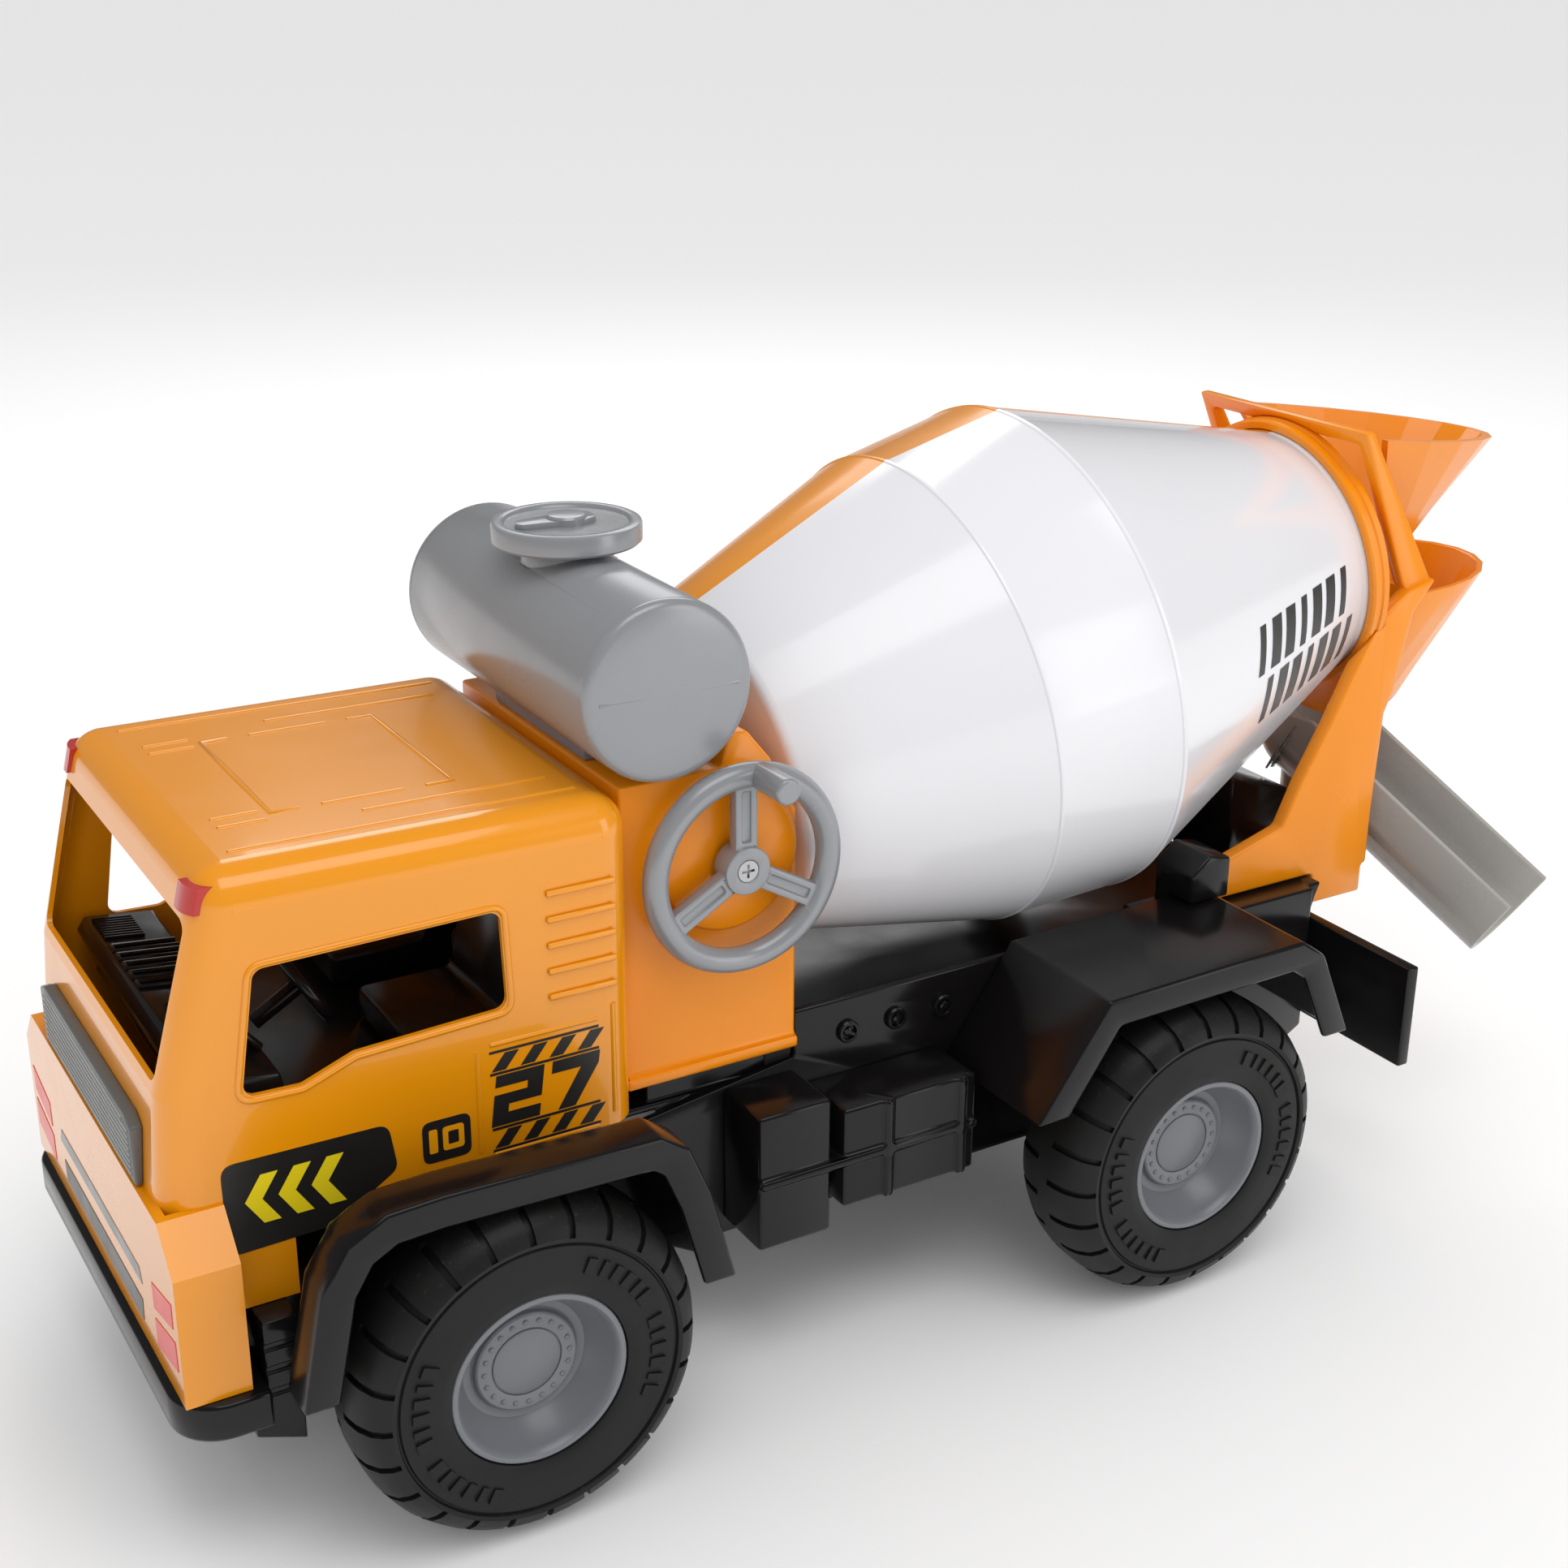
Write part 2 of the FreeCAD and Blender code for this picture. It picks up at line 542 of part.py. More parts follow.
house = house.cut(rod(stub_r + run_gap, on_drum(10), on_drum(24)))
save("drum_housing", house)

# ================= tank =================
tank_top = tank_z + tank_r
tube_half = tank_half - 2.0
tank = rod(tank_r, V(tank_x, -tube_half, tank_z), V(tank_x, tube_half, tank_z))
tank = tank.cut(rod(tank_r - tank_wall, V(tank_x, -tube_half - 1, tank_z), V(tank_x, tube_half + 1, tank_z)))
neck_rise = lid_rise - lid_travel - 0.1
neck = Part.makeCylinder(neck_r, neck_rise + 2.9, V(tank_x, 0, tank_top - 2.9), Z)
guide = Part.makeCylinder(lid_stem_r + 2, neck_rise + 13.5, V(tank_x, 0, tank_top - 13.5), Z)
tank = join([tank, neck, guide])
tank = tank.cut(Part.makeCylinder(lid_stem_r + run_gap, 12.0, V(tank_x, 0, tank_top - 9.0), Z))
save("tank_body", tank)
for side_name, side in (("left", 1), ("right", -1)):
    cap = turned([(0, 0), (tank_r, 0), (tank_r, 1.6), (tank_r - 1.2, 2.4), (0, 4.0)],
                 V(tank_x, side * tube_half, tank_z), Y * side, Z)
    save("tank_cap_" + side_name, cap)
saddle = box(tank_x - 10.2, tank_x + 8.8, -saddle_half, saddle_half, house_top_z, house_top_z + 9.0)
save("tank_saddle", saddle.cut(rod(tank_r, V(tank_x, -60, tank_z), V(tank_x, 60, tank_z))))
lid_low = tank_top + lid_rise
lid_top = lid_low + lid_t
lid = Part.makeCylinder(lid_r, lid_t, V(tank_x, 0, lid_low), Z)
lid = lid.makeFillet(1.0, [e for e in lid.Edges if e.CenterOfMass.z > lid_top - 0.1])
stem = Part.makeCylinder(lid_stem_r, lid_stem_len, V(tank_x, 0, lid_low - lid_stem_len), Z)
latch = rod(3.6, V(tank_x, 0, lid_top), V(tank_x, 0, lid_top + 1.4))
lever = box(tank_x, tank_x + lid_r - 4, -1.8, 1.8, lid_top, lid_top + 1.0)
save("tank_lid", join([lid, stem, latch, lever]))
spring_low = tank_top - 9.0
spring_h = lid_low - lid_stem_len - spring_low
wire_r = 0.35
rings = [Part.makeTorus(4.2, wire_r, V(tank_x, 0, spring_low + 0.4 + i * (spring_h - 0.8) / 3), Z)
         for i in range(4)]
save("lid_spring", Part.makeCompound(rings))

# ================= handwheel =================
wheel_c = V(hub_x, wheel_y, hub_z)
ring_r = handwheel_r - handwheel_tube
rim = Part.makeTorus(ring_r, handwheel_tube, wheel_c, Y)
parts = [rim, rod(handwheel_boss_r, wheel_c - Y * 3.6, wheel_c + Y * 2.4)]
for angle in (90, 210, 330):
    bar = Part.makeBox(ring_r - 3.0, spoke_t, spoke_w, V(3.0, -spoke_t / 2, -spoke_w / 2))
    bar = bar.cut(Part.makeBox(ring_r - 10, 1.2, 2.2, V(6.6, spoke_t / 2 - 0.8, -1.1)))
    bar.rotate(V(0, 0, 0), Y, -angle)
    bar.translate(wheel_c)
    parts.append(bar)
wheel = join(parts)
wheel = wheel.cut(rod(shaft_r, wheel_c - Y * 5, wheel_c - Y * 0.4))
wheel = wheel.cut(rod(2.6, wheel_c + Y * 0.6, wheel_c + Y * 4)).cut(rod(1.2, wheel_c - Y, wheel_c + Y))
save("handwheel", wheel)
pa = math.radians(peg_angle)
peg_c = wheel_c + V(math.cos(pa), 0, math.sin(pa)) * ring_r
peg = rod(peg_r, peg_c + Y * handwheel_tube, peg_c + Y * peg_len)
peg = peg.makeFillet(0.9, [e for e in peg.Edges if e.CenterOfMass.y > peg_c.y + peg_len - 0.2])
peg_seat = rod(peg_r, peg_c + Y * 1.0, peg_c + Y * handwheel_tube).cut(wheel)
save("crank_peg", join([peg, peg_seat]))
screw = rod(2.5, wheel_c + Y * 0.6, wheel_c + Y * 2.2)
for a, b in ((1.6, 0.3), (0.3, 1.6)):
    screw = screw.cut(box(hub_x - a, hub_x + a, wheel_y + 1.4, wheel_y + 3, hub_z - b, hub_z + b))
save("handwheel_screw", screw)
save("handwheel_shaft", rod(shaft_r, V(hub_x, -house_half + 1.0, hub_z), wheel_c - Y * 0.4))

# ================= gears =================
# a spur pinion on the shaft drives a crown gear on the drum's front stub
root_r = pinion_pitch_r - dedendum
tip_r = pinion_pitch_r + addendum
gear_y0 = crown_pitch_r - gear_face / 2
parts = [rod(root_r, V(hub_x, gear_y0, hub_z), V(hub_x, gear_y0 + gear_face, hub_z))]
for i in range(pinion_teeth):
    loop = [V(root_r - 1, 0, -0.95), V(tip_r, 0, -0.4), V(tip_r, 0, 0.4), V(root_r - 1, 0, 0.95)]
    tooth = Part.Face(Part.makePolygon(loop + loop[:1])).extrude(V(0, gear_face, 0))
    tooth.rotate(V(0, 0, 0), Y, -(180.0 - drum_pitch + 360.0 * i / pinion_teeth))
    tooth.translate(V(hub_x, gear_y0, hub_z))
    parts.append(tooth)
pinion = join(parts).cut(rod(shaft_r, V(hub_x, 0, hub_z), V(hub_x, house_half, hub_z)))
save("drive_pinion", pinion)
crown_s = tip_r + 0.7
crown_tip_s = pinion_pitch_r - addendum
crown_r = crown_pitch_r + 2.4
parts = [turned([(stub_r, crown_s), (crown_r, crown_s), (crown_r, crown_s + crown_t),
                 (stub_r, crown_s + crown_t)], hub, drum_dir, drum_up)]
for i in range(crown_teeth):
    a = 2 * math.pi * (i + 0.5) / crown_teeth + math.pi / 2
    d = drum_up * math.cos(a) + Y * math.sin(a)
    t = Y * math.cos(a) - drum_up * math.sin(a)
    base = hub + d * (crown_pitch_r - 2.0)
    root, tip = base + drum_dir * (crown_s + 1), base + drum_dir * crown_tip_s
    loop = [root + t * 0.8, tip + t * 0.4, tip - t * 0.4, root - t * 0.8]
    parts.append(Part.Face(Part.makePolygon(loop + loop[:1])).extrude(d * 4.0))
save("crown_gear", join(parts))
save("drum_stub", rod(stub_r, on_drum(crown_s), on_drum(front_s)))

# ================= drum =================
inner_mouth = mouth_r - drum_wall
profile = [(0, front_s), (front_r, front_s), (band1_r, band1_s), (band2_r, band2_s), (mouth_r, mouth_s),
           (mouth_r, mouth_s + neck_len), (inner_mouth, mouth_s + neck_len), (inner_mouth, mouth_s),
           (band2_r - drum_wall, band2_s - 0.5), (band1_r - drum_wall, band1_s + 0.3),
           (front_r - drum_wall, front_s + drum_wall), (0, front_s + drum_wall)]
drum = turned(profile, hub, drum_dir, drum_up)
wide = band2_r + 5
for side_name, side in (("left", 1), ("right", -1)):
    half = box(-250, 100, *pair(side, 0, wide), 0, 300)
    save("drum_shell_" + side_name, drum.common(half))
# two mixing blades stand on the inside of the drum's wide band
blades = []
slope_in = (band2_r - band1_r) / (band2_s - band1_s)
for side in (1, -1):
    d = Y * side
    s0, s1 = band1_s + 6.7, band2_s - 5.0
    r0, r1 = (band1_r - drum_wall - 0.2 + slope_in * (s - band1_s) for s in (s0, s1))
    loop = [on_drum(s0) + d * r0, on_drum(s1) + d * r1, on_drum(s1 - 4) + d * (r1 - blade_deep),
            on_drum(s0 + 4) + d * (r0 - blade_deep)]
    blades.append(Part.Face(Part.makePolygon(loop + loop[:1])).extrude(drum_up * blade_t))
save("mixing_blades", Part.makeCompound(blades))

# ================= rear support frame =================
# the square head frame leans forward at the top, just behind the drum's mouth
head_side = [by_mouth(4.6, mouth_r + 4.8), by_mouth(16.9, -6.8), by_mouth(26.4, -6.3),
             by_mouth(7.9, mouth_r + 4.3)]
leg = [(stop_rear_x - 0.2, leg_seat_z + 0.2), (stop_rear_x - 0.2, 86.6), (-109.0, 95.7), (-114.9, 108.5),
       (-123.4, 123.2), (-129.6, 135.6), (-137.4, 149.6), head_side[1], head_side[2], (-150.0, 150.0),
       (-145.6, 128.7), (-143.0, 122.5), (-142.0, 93.8), (-142.0, 78.7), (-140.5, 78.7), (-140.5, 70.5),
       (tail_x - 5.9, 70.5), (tail_x - 5.9, leg_seat_z + 0.2)]
collar_r = mouth_r + collar_t
collar_s0 = mouth_s + 1.4
collar_s1 = collar_s0 + collar_len
head_half = leg_in + 1.8
head_in = leg_in - 2.2
top_x, top_z = head_side[0]
opening = [(top_x + 8, top_z - head_bar), (-150.0, 150.0), (-175.0, 150.0), (top_x - 12, top_z - head_bar)]
head = side_plate(head_side, -head_half, head_half).cut(side_plate(opening, -head_in, head_in))
frame = join([side_plate(leg, *pair(side, leg_in, leg_out)) for side in (1, -1)] + [head])
frame = frame.cut(rod(collar_r, on_drum(mouth_s - 6), on_drum(collar_s1)))
pedestal_half = 11.6
ties = [box(-138.0, -130.0, *pair(side, pedestal_half, leg_in), 71.0, 79.0) for side in (1, -1)]
save("support_frame", Part.makeCompound([frame] + ties))

# a round collar on the frame guides the drum's neck
bore = mouth_r + move_gap
stop_r = mouth_r - 4.0
save("drum_collar", turned([(bore, collar_s0), (collar_r, collar_s0), (collar_r, collar_s1), (stop_r, collar_s1),
                            (stop_r, collar_s1 - 1.4), (bore, collar_s1 - 1.4)], hub, drum_dir, drum_up))

# a pedestal at the tail carries the chute
pedestal_rear = chute_x + chute_half + 3.5
pedestal = side_plate([(-111.8, deck_z), (-111.8, 101.5), (pedestal_rear, 95.0), (pedestal_rear, 70.0),
                       (-122.0, 69.5), (tail_x + 0.1, 69.5), (tail_x + 0.1, deck_z)], -pedestal_half, pedestal_half)
arm = side_plate([(pedestal_rear, 70.0), (pedestal_rear, arm_top_z), (chute_x - 7, arm_top_z),
                  (chute_x - 7, arm_top_z - 6), (chute_x + 5, 70.0)], -chute_pin_r - 2.6, chute_pin_r + 2.6)
pedestal = join([pedestal, arm])
save("pedestal", pedestal.cut(rod(chute_pin_r + run_gap, V(chute_x, 0, 60), V(chute_x, 0, 110))))


# ================= hopper and funnel =================
# each is half of a cone with an open top
def d_loop(x_front, half, reach, z, fall, inset=0.0):
    pts = [(x_front, -half + inset)]
    for i in range(13):
        a = math.pi * i / 12 - math.pi / 2
        pts.append((x_front - 0.5 - (reach - inset) * math.cos(a), (half - inset) * math.sin(a)))
    pts.append((x_front, half - inset))
    loop = [V(x, y, z + fall * (x - x_front)) for x, y in pts]
    return Part.makePolygon(loop + loop[:1])


def funnel(top, low, wall, front_open):
    outer = Part.makeLoft([d_loop(*low), d_loop(*top)], True, True)
    shift = 4.0 if front_open else -wall
    hole = []
    for (x_front, half, reach, z, fall), rise in ((low, -0.4), (top, 0.4)):
        hole.append(d_loop(x_front + shift, half - wall, reach - wall + shift, z + rise + fall * shift, fall))
    return outer.cut(Part.makeLoft(hole, True, True))


# x of the open side, half width, reach, height, fall per mm rearwards
hopper_half = leg_in - 0.6
hopper_fall = 0.137
upper = funnel((head_side[3][0] - 7.2, hopper_half, hopper_reach, top_z - 3.4, hopper_fall),
               (head_side[2][0] + 0.5, 14.0, 15.6, head_side[2][1] + 1.5, hopper_fall), hopper_wall, True)
save("upper_hopper", upper.cut(side_plate(head_side, -60, 60)))
lower = funnel((head_side[2][0] - 0.9, hopper_half, funnel_reach, head_side[2][1] - 5.5, 0.0),
               (chute_x + 4, chute_half + 1.5, 34.0, chute_head_z + 0.6, 0.0), hopper_wall, False)
save("lower_funnel", lower.cut(frame))

# ================= chute =================
swing = math.radians(chute_swing)
slope = math.radians(chute_slope)
flat = V(-math.cos(swing), math.sin(swing), 0)
down = flat * math.cos(slope) - Z * math.sin(slope)
across = V(math.sin(swing), math.cos(swing), 0)
lift = flat * math.sin(slope) + Z * math.cos(slope)
chute_o = V(chute_x, 0, chute_z)


def trough(r, extra):
    """solid U-section with a rounded head, r wide each way"""
    pts = [chute_o + across * r + lift * (chute_rim + extra), chute_o + across * r]
    for i in range(1, 12):
        a = math.pi * i / 12
        pts.append(chute_o + across * (r * math.cos(a)) - lift * (r * math.sin(a)))
    pts += [chute_o - across * r, chute_o - across * r + lift * (chute_rim + extra)]
    run = Part.Face(Part.makePolygon(pts + pts[:1])).extrude(down * (chute_len + extra))
    head = Part.makeSphere(r, chute_o).fuse(Part.makeCylinder(r, chute_rim + extra, chute_o, lift))
    wide = 30 + r
    cutter = Part.Face(Part.makePolygon([chute_o + across * a + lift * b for a, b in (
        (-wide, -wide), (wide, -wide), (wide, 60), (-wide, 60), (-wide, -wide))]))
    return run.fuse(head.cut(cutter.extrude(down * 60))).removeSplitter()


stem_low = arm_top_z + move_gap
pin_top = stem_low + 9.2
stem = rod(chute_pin_r + 2.5, V(chute_x, 0, stem_low), V(chute_x, 0, chute_z - 6))
chute = trough(chute_half, 0.0).fuse(stem).cut(trough(chute_half - chute_wall, 3.0))
chute = chute.cut(box(-250, -50, -60, 60, chute_head_z, 200))
chute = chute.cut(rod(chute_pin_r, V(chute_x, 0, 60), V(chute_x, 0, pin_top)))
save("chute", chute)
save("chute_pin", rod(chute_pin_r, V(chute_x, 0, arm_top_z - 7.5), V(chute_x, 0, pin_top)))
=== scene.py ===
import json
import math
import bpy
from mathutils import Matrix, Vector


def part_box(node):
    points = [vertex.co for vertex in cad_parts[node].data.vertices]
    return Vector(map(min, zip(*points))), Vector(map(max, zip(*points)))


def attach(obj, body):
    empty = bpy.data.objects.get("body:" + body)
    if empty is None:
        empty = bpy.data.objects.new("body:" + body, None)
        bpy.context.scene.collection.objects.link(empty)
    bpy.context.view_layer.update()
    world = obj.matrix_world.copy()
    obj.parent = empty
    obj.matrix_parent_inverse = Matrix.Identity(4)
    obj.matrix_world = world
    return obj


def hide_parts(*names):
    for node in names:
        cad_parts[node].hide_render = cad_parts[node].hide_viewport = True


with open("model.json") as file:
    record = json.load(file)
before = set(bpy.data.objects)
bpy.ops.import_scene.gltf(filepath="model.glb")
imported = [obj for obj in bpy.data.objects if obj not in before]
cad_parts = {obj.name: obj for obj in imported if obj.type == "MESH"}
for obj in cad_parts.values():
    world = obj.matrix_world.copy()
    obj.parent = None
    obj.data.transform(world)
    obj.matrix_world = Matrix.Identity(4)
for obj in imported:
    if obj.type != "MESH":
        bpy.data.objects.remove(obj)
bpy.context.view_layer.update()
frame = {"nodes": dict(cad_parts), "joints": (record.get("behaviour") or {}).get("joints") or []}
MM = 0.001
bpy.ops.object.select_all(action="DESELECT")
scene = bpy.context.scene

# ---------------------------------------------------------------- the studio
# A white table, a bright room and three soft boxes: one large and high in front,
# one low on the left to open the black plastic, one behind to draw the edges.
scene.view_settings.view_transform = "Standard"
scene.world = bpy.data.worlds.new("white_room")
scene.world.use_nodes = True
room_light = scene.world.node_tree.nodes["Background"]
room_light.inputs["Color"].default_value = (1.0, 1.0, 1.0, 1.0)
room_rays = scene.world.node_tree.nodes.new("ShaderNodeLightPath")
glossy_level = scene.world.node_tree.nodes.new("ShaderNodeMapRange")
glossy_level.inputs["To Min"].default_value = 0.90
glossy_level.inputs["To Max"].default_value = 0.18
room_level = scene.world.node_tree.nodes.new("ShaderNodeMix")
room_level.inputs["B"].default_value = 1.0
room_links = scene.world.node_tree.links
room_links.new(room_rays.outputs["Is Glossy Ray"], glossy_level.inputs["Value"])
room_links.new(room_rays.outputs["Is Camera Ray"], room_level.inputs["Factor"])
room_links.new(glossy_level.outputs["Result"], room_level.inputs["A"])
room_links.new(room_level.outputs["Result"], room_light.inputs["Strength"])


def soft_box(name, place, width, depth, power):
    """a soft box of that size, facing the middle of the truck"""
    bpy.ops.object.light_add(type="AREA", location=place)
    lamp = bpy.context.object
    lamp.name = name
    lamp.data.shape = "RECTANGLE"
    lamp.data.size = width
    lamp.data.size_y = depth
    lamp.data.energy = power
    aim = Vector((0.0, 0.0, 0.08)) - Vector(place)
    lamp.rotation_euler = aim.to_track_quat("-Z", "Y").to_euler()
    lamp.select_set(False)


soft_box("key_box", (0.05, 0.60, 1.30), 0.9, 0.7, 4.0)
soft_box("left_box", (-0.75, 1.10, 0.45), 0.5, 0.8, 2.2)
soft_box("rear_box", (-0.50, -0.95, 0.90), 0.8, 0.5, 3.0)

bpy.ops.mesh.primitive_plane_add(size=60.0, location=(0.0, 0.0, 0.0))
table_top = bpy.context.object
table_top.name = "table_top"
paper = bpy.data.materials.new("white_paper")
paper.use_nodes = True
paper_shader = paper.node_tree.nodes["Principled BSDF"]
paper_shader.inputs["Base Color"].default_value = (0.93, 0.93, 0.93, 1.0)
paper_shader.inputs["Roughness"].default_value = 0.9
table_top.data.materials.append(paper)
table_top.select_set(False)

# the camera stands high on the truck's left, a little ahead of the nose
camera_place = Vector((0.28719, 0.43682, 0.32059))
back = Vector((0.478, 0.800, 0.362)).normalized()
level = (-back).cross(Vector((0, 0, 1))).normalized()
upright = level.cross(-back)
tilt = math.radians(0.36)
camera_right = level * math.cos(tilt) + upright * math.sin(tilt)
camera_up = upright * math.cos(tilt) - level * math.sin(tilt)
camera_data = bpy.data.cameras.new("studio_camera")
camera_data.sensor_width = 36.0
camera_data.lens = 50.58
camera = bpy.data.objects.new("studio_camera", camera_data)
scene.collection.objects.link(camera)
camera.matrix_world = Matrix((
    (camera_right.x, camera_up.x, back.x, camera_place.x),
    (camera_right.y, camera_up.y, back.y, camera_place.y),
    (camera_right.z, camera_up.z, back.z, camera_place.z),
    (0.0, 0.0, 0.0, 1.0)))
scene.camera = camera

# ---------------------------------------------------------------- the chassis
# One glossy black injection moulding: side walls, a floor and rounded edges where
# the mould opens. Its skin has a fine grain and faint flow marks.


def texture_group(name, sockets_in, sockets_out):
    """an empty shader node group with those inputs and outputs"""
    group = bpy.data.node_groups.new(name, "ShaderNodeTree")
    for socket, kind, value in sockets_in:
        made = group.interface.new_socket(socket, in_out="INPUT", socket_type=kind)
        made.default_value = value
    for socket, kind in sockets_out:
        group.interface.new_socket(socket, in_out="OUTPUT", socket_type=kind)
    return group, group.nodes.new("NodeGroupInput"), group.nodes.new("NodeGroupOutput")


def noise_node(nodes, scale, detail, roughness=0.5):
    noise = nodes.new("ShaderNodeTexNoise")
    noise.inputs["Scale"].default_value = scale
    noise.inputs["Detail"].default_value = detail
    noise.inputs["Roughness"].default_value = roughness
    return noise


def ramp_node(nodes, low, high, value_low=0.0, value_high=1.0):
    ramp = nodes.new("ShaderNodeMapRange")
    ramp.inputs["From Min"].default_value = low
    ramp.inputs["From Max"].default_value = high
    ramp.inputs["To Min"].default_value = value_low
    ramp.inputs["To Max"].default_value = value_high
    return ramp


# moulded skin: slow flow marks, greasy smudges, a fine grain and settled dust
skin, skin_in, skin_out = texture_group(
    "moulded_skin",
    (("Grain Scale", "NodeSocketFloat", 2600.0), ("Dust", "NodeSocketFloat", 0.1)),
    (("Flow", "NodeSocketFloat"), ("Smudge", "NodeSocketFloat"), ("Grain", "NodeSocketFloat"),
     ("Dust Mask", "NodeSocketFloat")))
place = skin.nodes.new("ShaderNodeTexCoord")
flow = noise_node(skin.nodes, 28.0, 3.0)
smudge = noise_node(skin.nodes, 75.0, 5.0, 0.6)
grain = noise_node(skin.nodes, 2600.0, 2.0)
specks = noise_node(skin.nodes, 900.0, 3.0, 0.7)
up = skin.nodes.new("ShaderNodeSeparateXYZ")
facing = skin.nodes.new("ShaderNodeNewGeometry")
speck_ramp = ramp_node(skin.nodes, 0.60, 0.72)
smudge_ramp = ramp_node(skin.nodes, 0.42, 0.66)
up_ramp = ramp_node(skin.nodes, 0.2, 1.0)
dust_a = skin.nodes.new("ShaderNodeMath")
dust_a.operation = "MULTIPLY"
dust_b = skin.nodes.new("ShaderNodeMath")
dust_b.operation = "MULTIPLY"
for noise in (flow, smudge, grain, specks):
    skin.links.new(place.outputs["Object"], noise.inputs["Vector"])
skin.links.new(skin_in.outputs["Grain Scale"], grain.inputs["Scale"])
skin.links.new(flow.outputs["Fac"], skin_out.inputs["Flow"])
skin.links.new(smudge.outputs["Fac"], smudge_ramp.inputs["Value"])
skin.links.new(smudge_ramp.outputs["Result"], skin_out.inputs["Smudge"])
skin.links.new(grain.outputs["Fac"], skin_out.inputs["Grain"])
skin.links.new(facing.outputs["Normal"], up.inputs["Vector"])
skin.links.new(up.outputs["Z"], up_ramp.inputs["Value"])
skin.links.new(specks.outputs["Fac"], speck_ramp.inputs["Value"])
skin.links.new(speck_ramp.outputs["Result"], dust_a.inputs[0])
skin.links.new(up_ramp.outputs["Result"], dust_a.inputs[1])
skin.links.new(dust_a.outputs["Value"], dust_b.inputs[0])
skin.links.new(skin_in.outputs["Dust"], dust_b.inputs[1])
skin.links.new(dust_b.outputs["Value"], skin_out.inputs["Dust Mask"])


def moulded(name, dark, light, roughness, spread, grain_scale, grain_depth, dust=0.0, metallic=0.0,
            coat=0.0, coat_roughness=0.1):
    """a moulded or painted finish: two tones, roughness with its spread, and a grain in millimetres"""
    material = bpy.data.materials.new(name)
    material.use_nodes = True
    nodes, links = material.node_tree.nodes, material.node_tree.links
    shader = nodes["Principled BSDF"]
    shader.inputs["Metallic"].default_value = metallic
    shader.inputs["Coat Weight"].default_value = coat
    shader.inputs["Coat Roughness"].default_value = coat_roughness
    texture = nodes.new("ShaderNodeGroup")
    texture.node_tree = skin
    texture.inputs["Grain Scale"].default_value = grain_scale
    texture.inputs["Dust"].default_value = dust
    tone = nodes.new("ShaderNodeMix")
    tone.data_type = "RGBA"
    tone.inputs["A"].default_value = (*dark, 1.0)
    tone.inputs["B"].default_value = (*light, 1.0)
    dusted = nodes.new("ShaderNodeMix")
    dusted.data_type = "RGBA"
    dusted.inputs["B"].default_value = (0.62, 0.60, 0.57, 1.0)
    links.new(texture.outputs["Flow"], tone.inputs["Factor"])
    links.new(tone.outputs["Result"], dusted.inputs["A"])
    links.new(texture.outputs["Dust Mask"], dusted.inputs["Factor"])
    links.new(dusted.outputs["Result"], shader.inputs["Base Color"])
    gloss = ramp_node(nodes, 0.0, 1.0, roughness, roughness + spread)
    links.new(texture.outputs["Smudge"], gloss.inputs["Value"])
    links.new(gloss.outputs["Result"], shader.inputs["Roughness"])
    bump = nodes.new("ShaderNodeBump")
    bump.inputs["Strength"].default_value = 0.5
    bump.inputs["Distance"].default_value = grain_depth * MM
    links.new(texture.outputs["Grain"], bump.inputs["Height"])
    links.new(bump.outputs["Normal"], shader.inputs["Normal"])
    return material


def pick(piece):
    """this piece alone selected and active"""
    bpy.ops.object.select_all(action="DESELECT")
    piece.select_set(True)
    bpy.context.view_layer.objects.active = piece


def finish(piece, material, body, replaced=(), smooth=35.0):
    """origin at the truck's origin, the material, shading, and the body it rides on"""
    pick(piece)
    bpy.ops.object.transform_apply(location=True, rotation=True, scale=True)
    bpy.ops.object.shade_smooth_by_angle(angle=math.radians(smooth))
    piece.data.materials.clear()
    piece.data.materials.append(material)
    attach(piece, body)
    if replaced:
        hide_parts(*replaced)
    piece.select_set(False)


def eased(node, name, width, segments=2, angle=30.0):
    """the moulding of a CAD node with its sharp edges eased by that many millimetres"""
    piece = bpy.data.objects.new(name, frame["nodes"][node].data.copy())
    scene.collection.objects.link(piece)
    pick(piece)
    bpy.ops.object.mode_set(mode="EDIT")
    bpy.ops.mesh.select_all(action="SELECT")
    bpy.ops.mesh.remove_doubles(threshold=0.002 * MM)
    bpy.ops.mesh.dissolve_limited(angle_limit=math.radians(1.0))
    bpy.ops.object.mode_set(mode="OBJECT")
    ease = piece.modifiers.new("eased_edges", "BEVEL")
    ease.width = width * MM
    ease.segments = segments
    ease.limit_method = "ANGLE"
    ease.angle_limit = math.radians(angle)
    ease.use_clamp_overlap = False
    ease.miter_outer = "MITER_ARC"
    bpy.ops.object.modifier_apply(modifier="eased_edges")
    return piece


gloss_black = moulded("gloss_black_moulding", (0.0055, 0.0048, 0.0052), (0.0075, 0.0066, 0.0070), 0.16,
                      0.05, 1500.0, 0.006)
gloss_black.node_tree.nodes["Principled BSDF"].inputs["Specular IOR Level"].default_value = 0.35
chassis = eased("chassis_frame", "chassis_moulding", 0.7)
finish(chassis, gloss_black, "truck", ("chassis_frame",))


def dress(node, material):
    """gives a CAD node that keeps its own shape its finish"""
    part = frame["nodes"][node]
    part.data.materials.clear()
    part.data.materials.append(material)


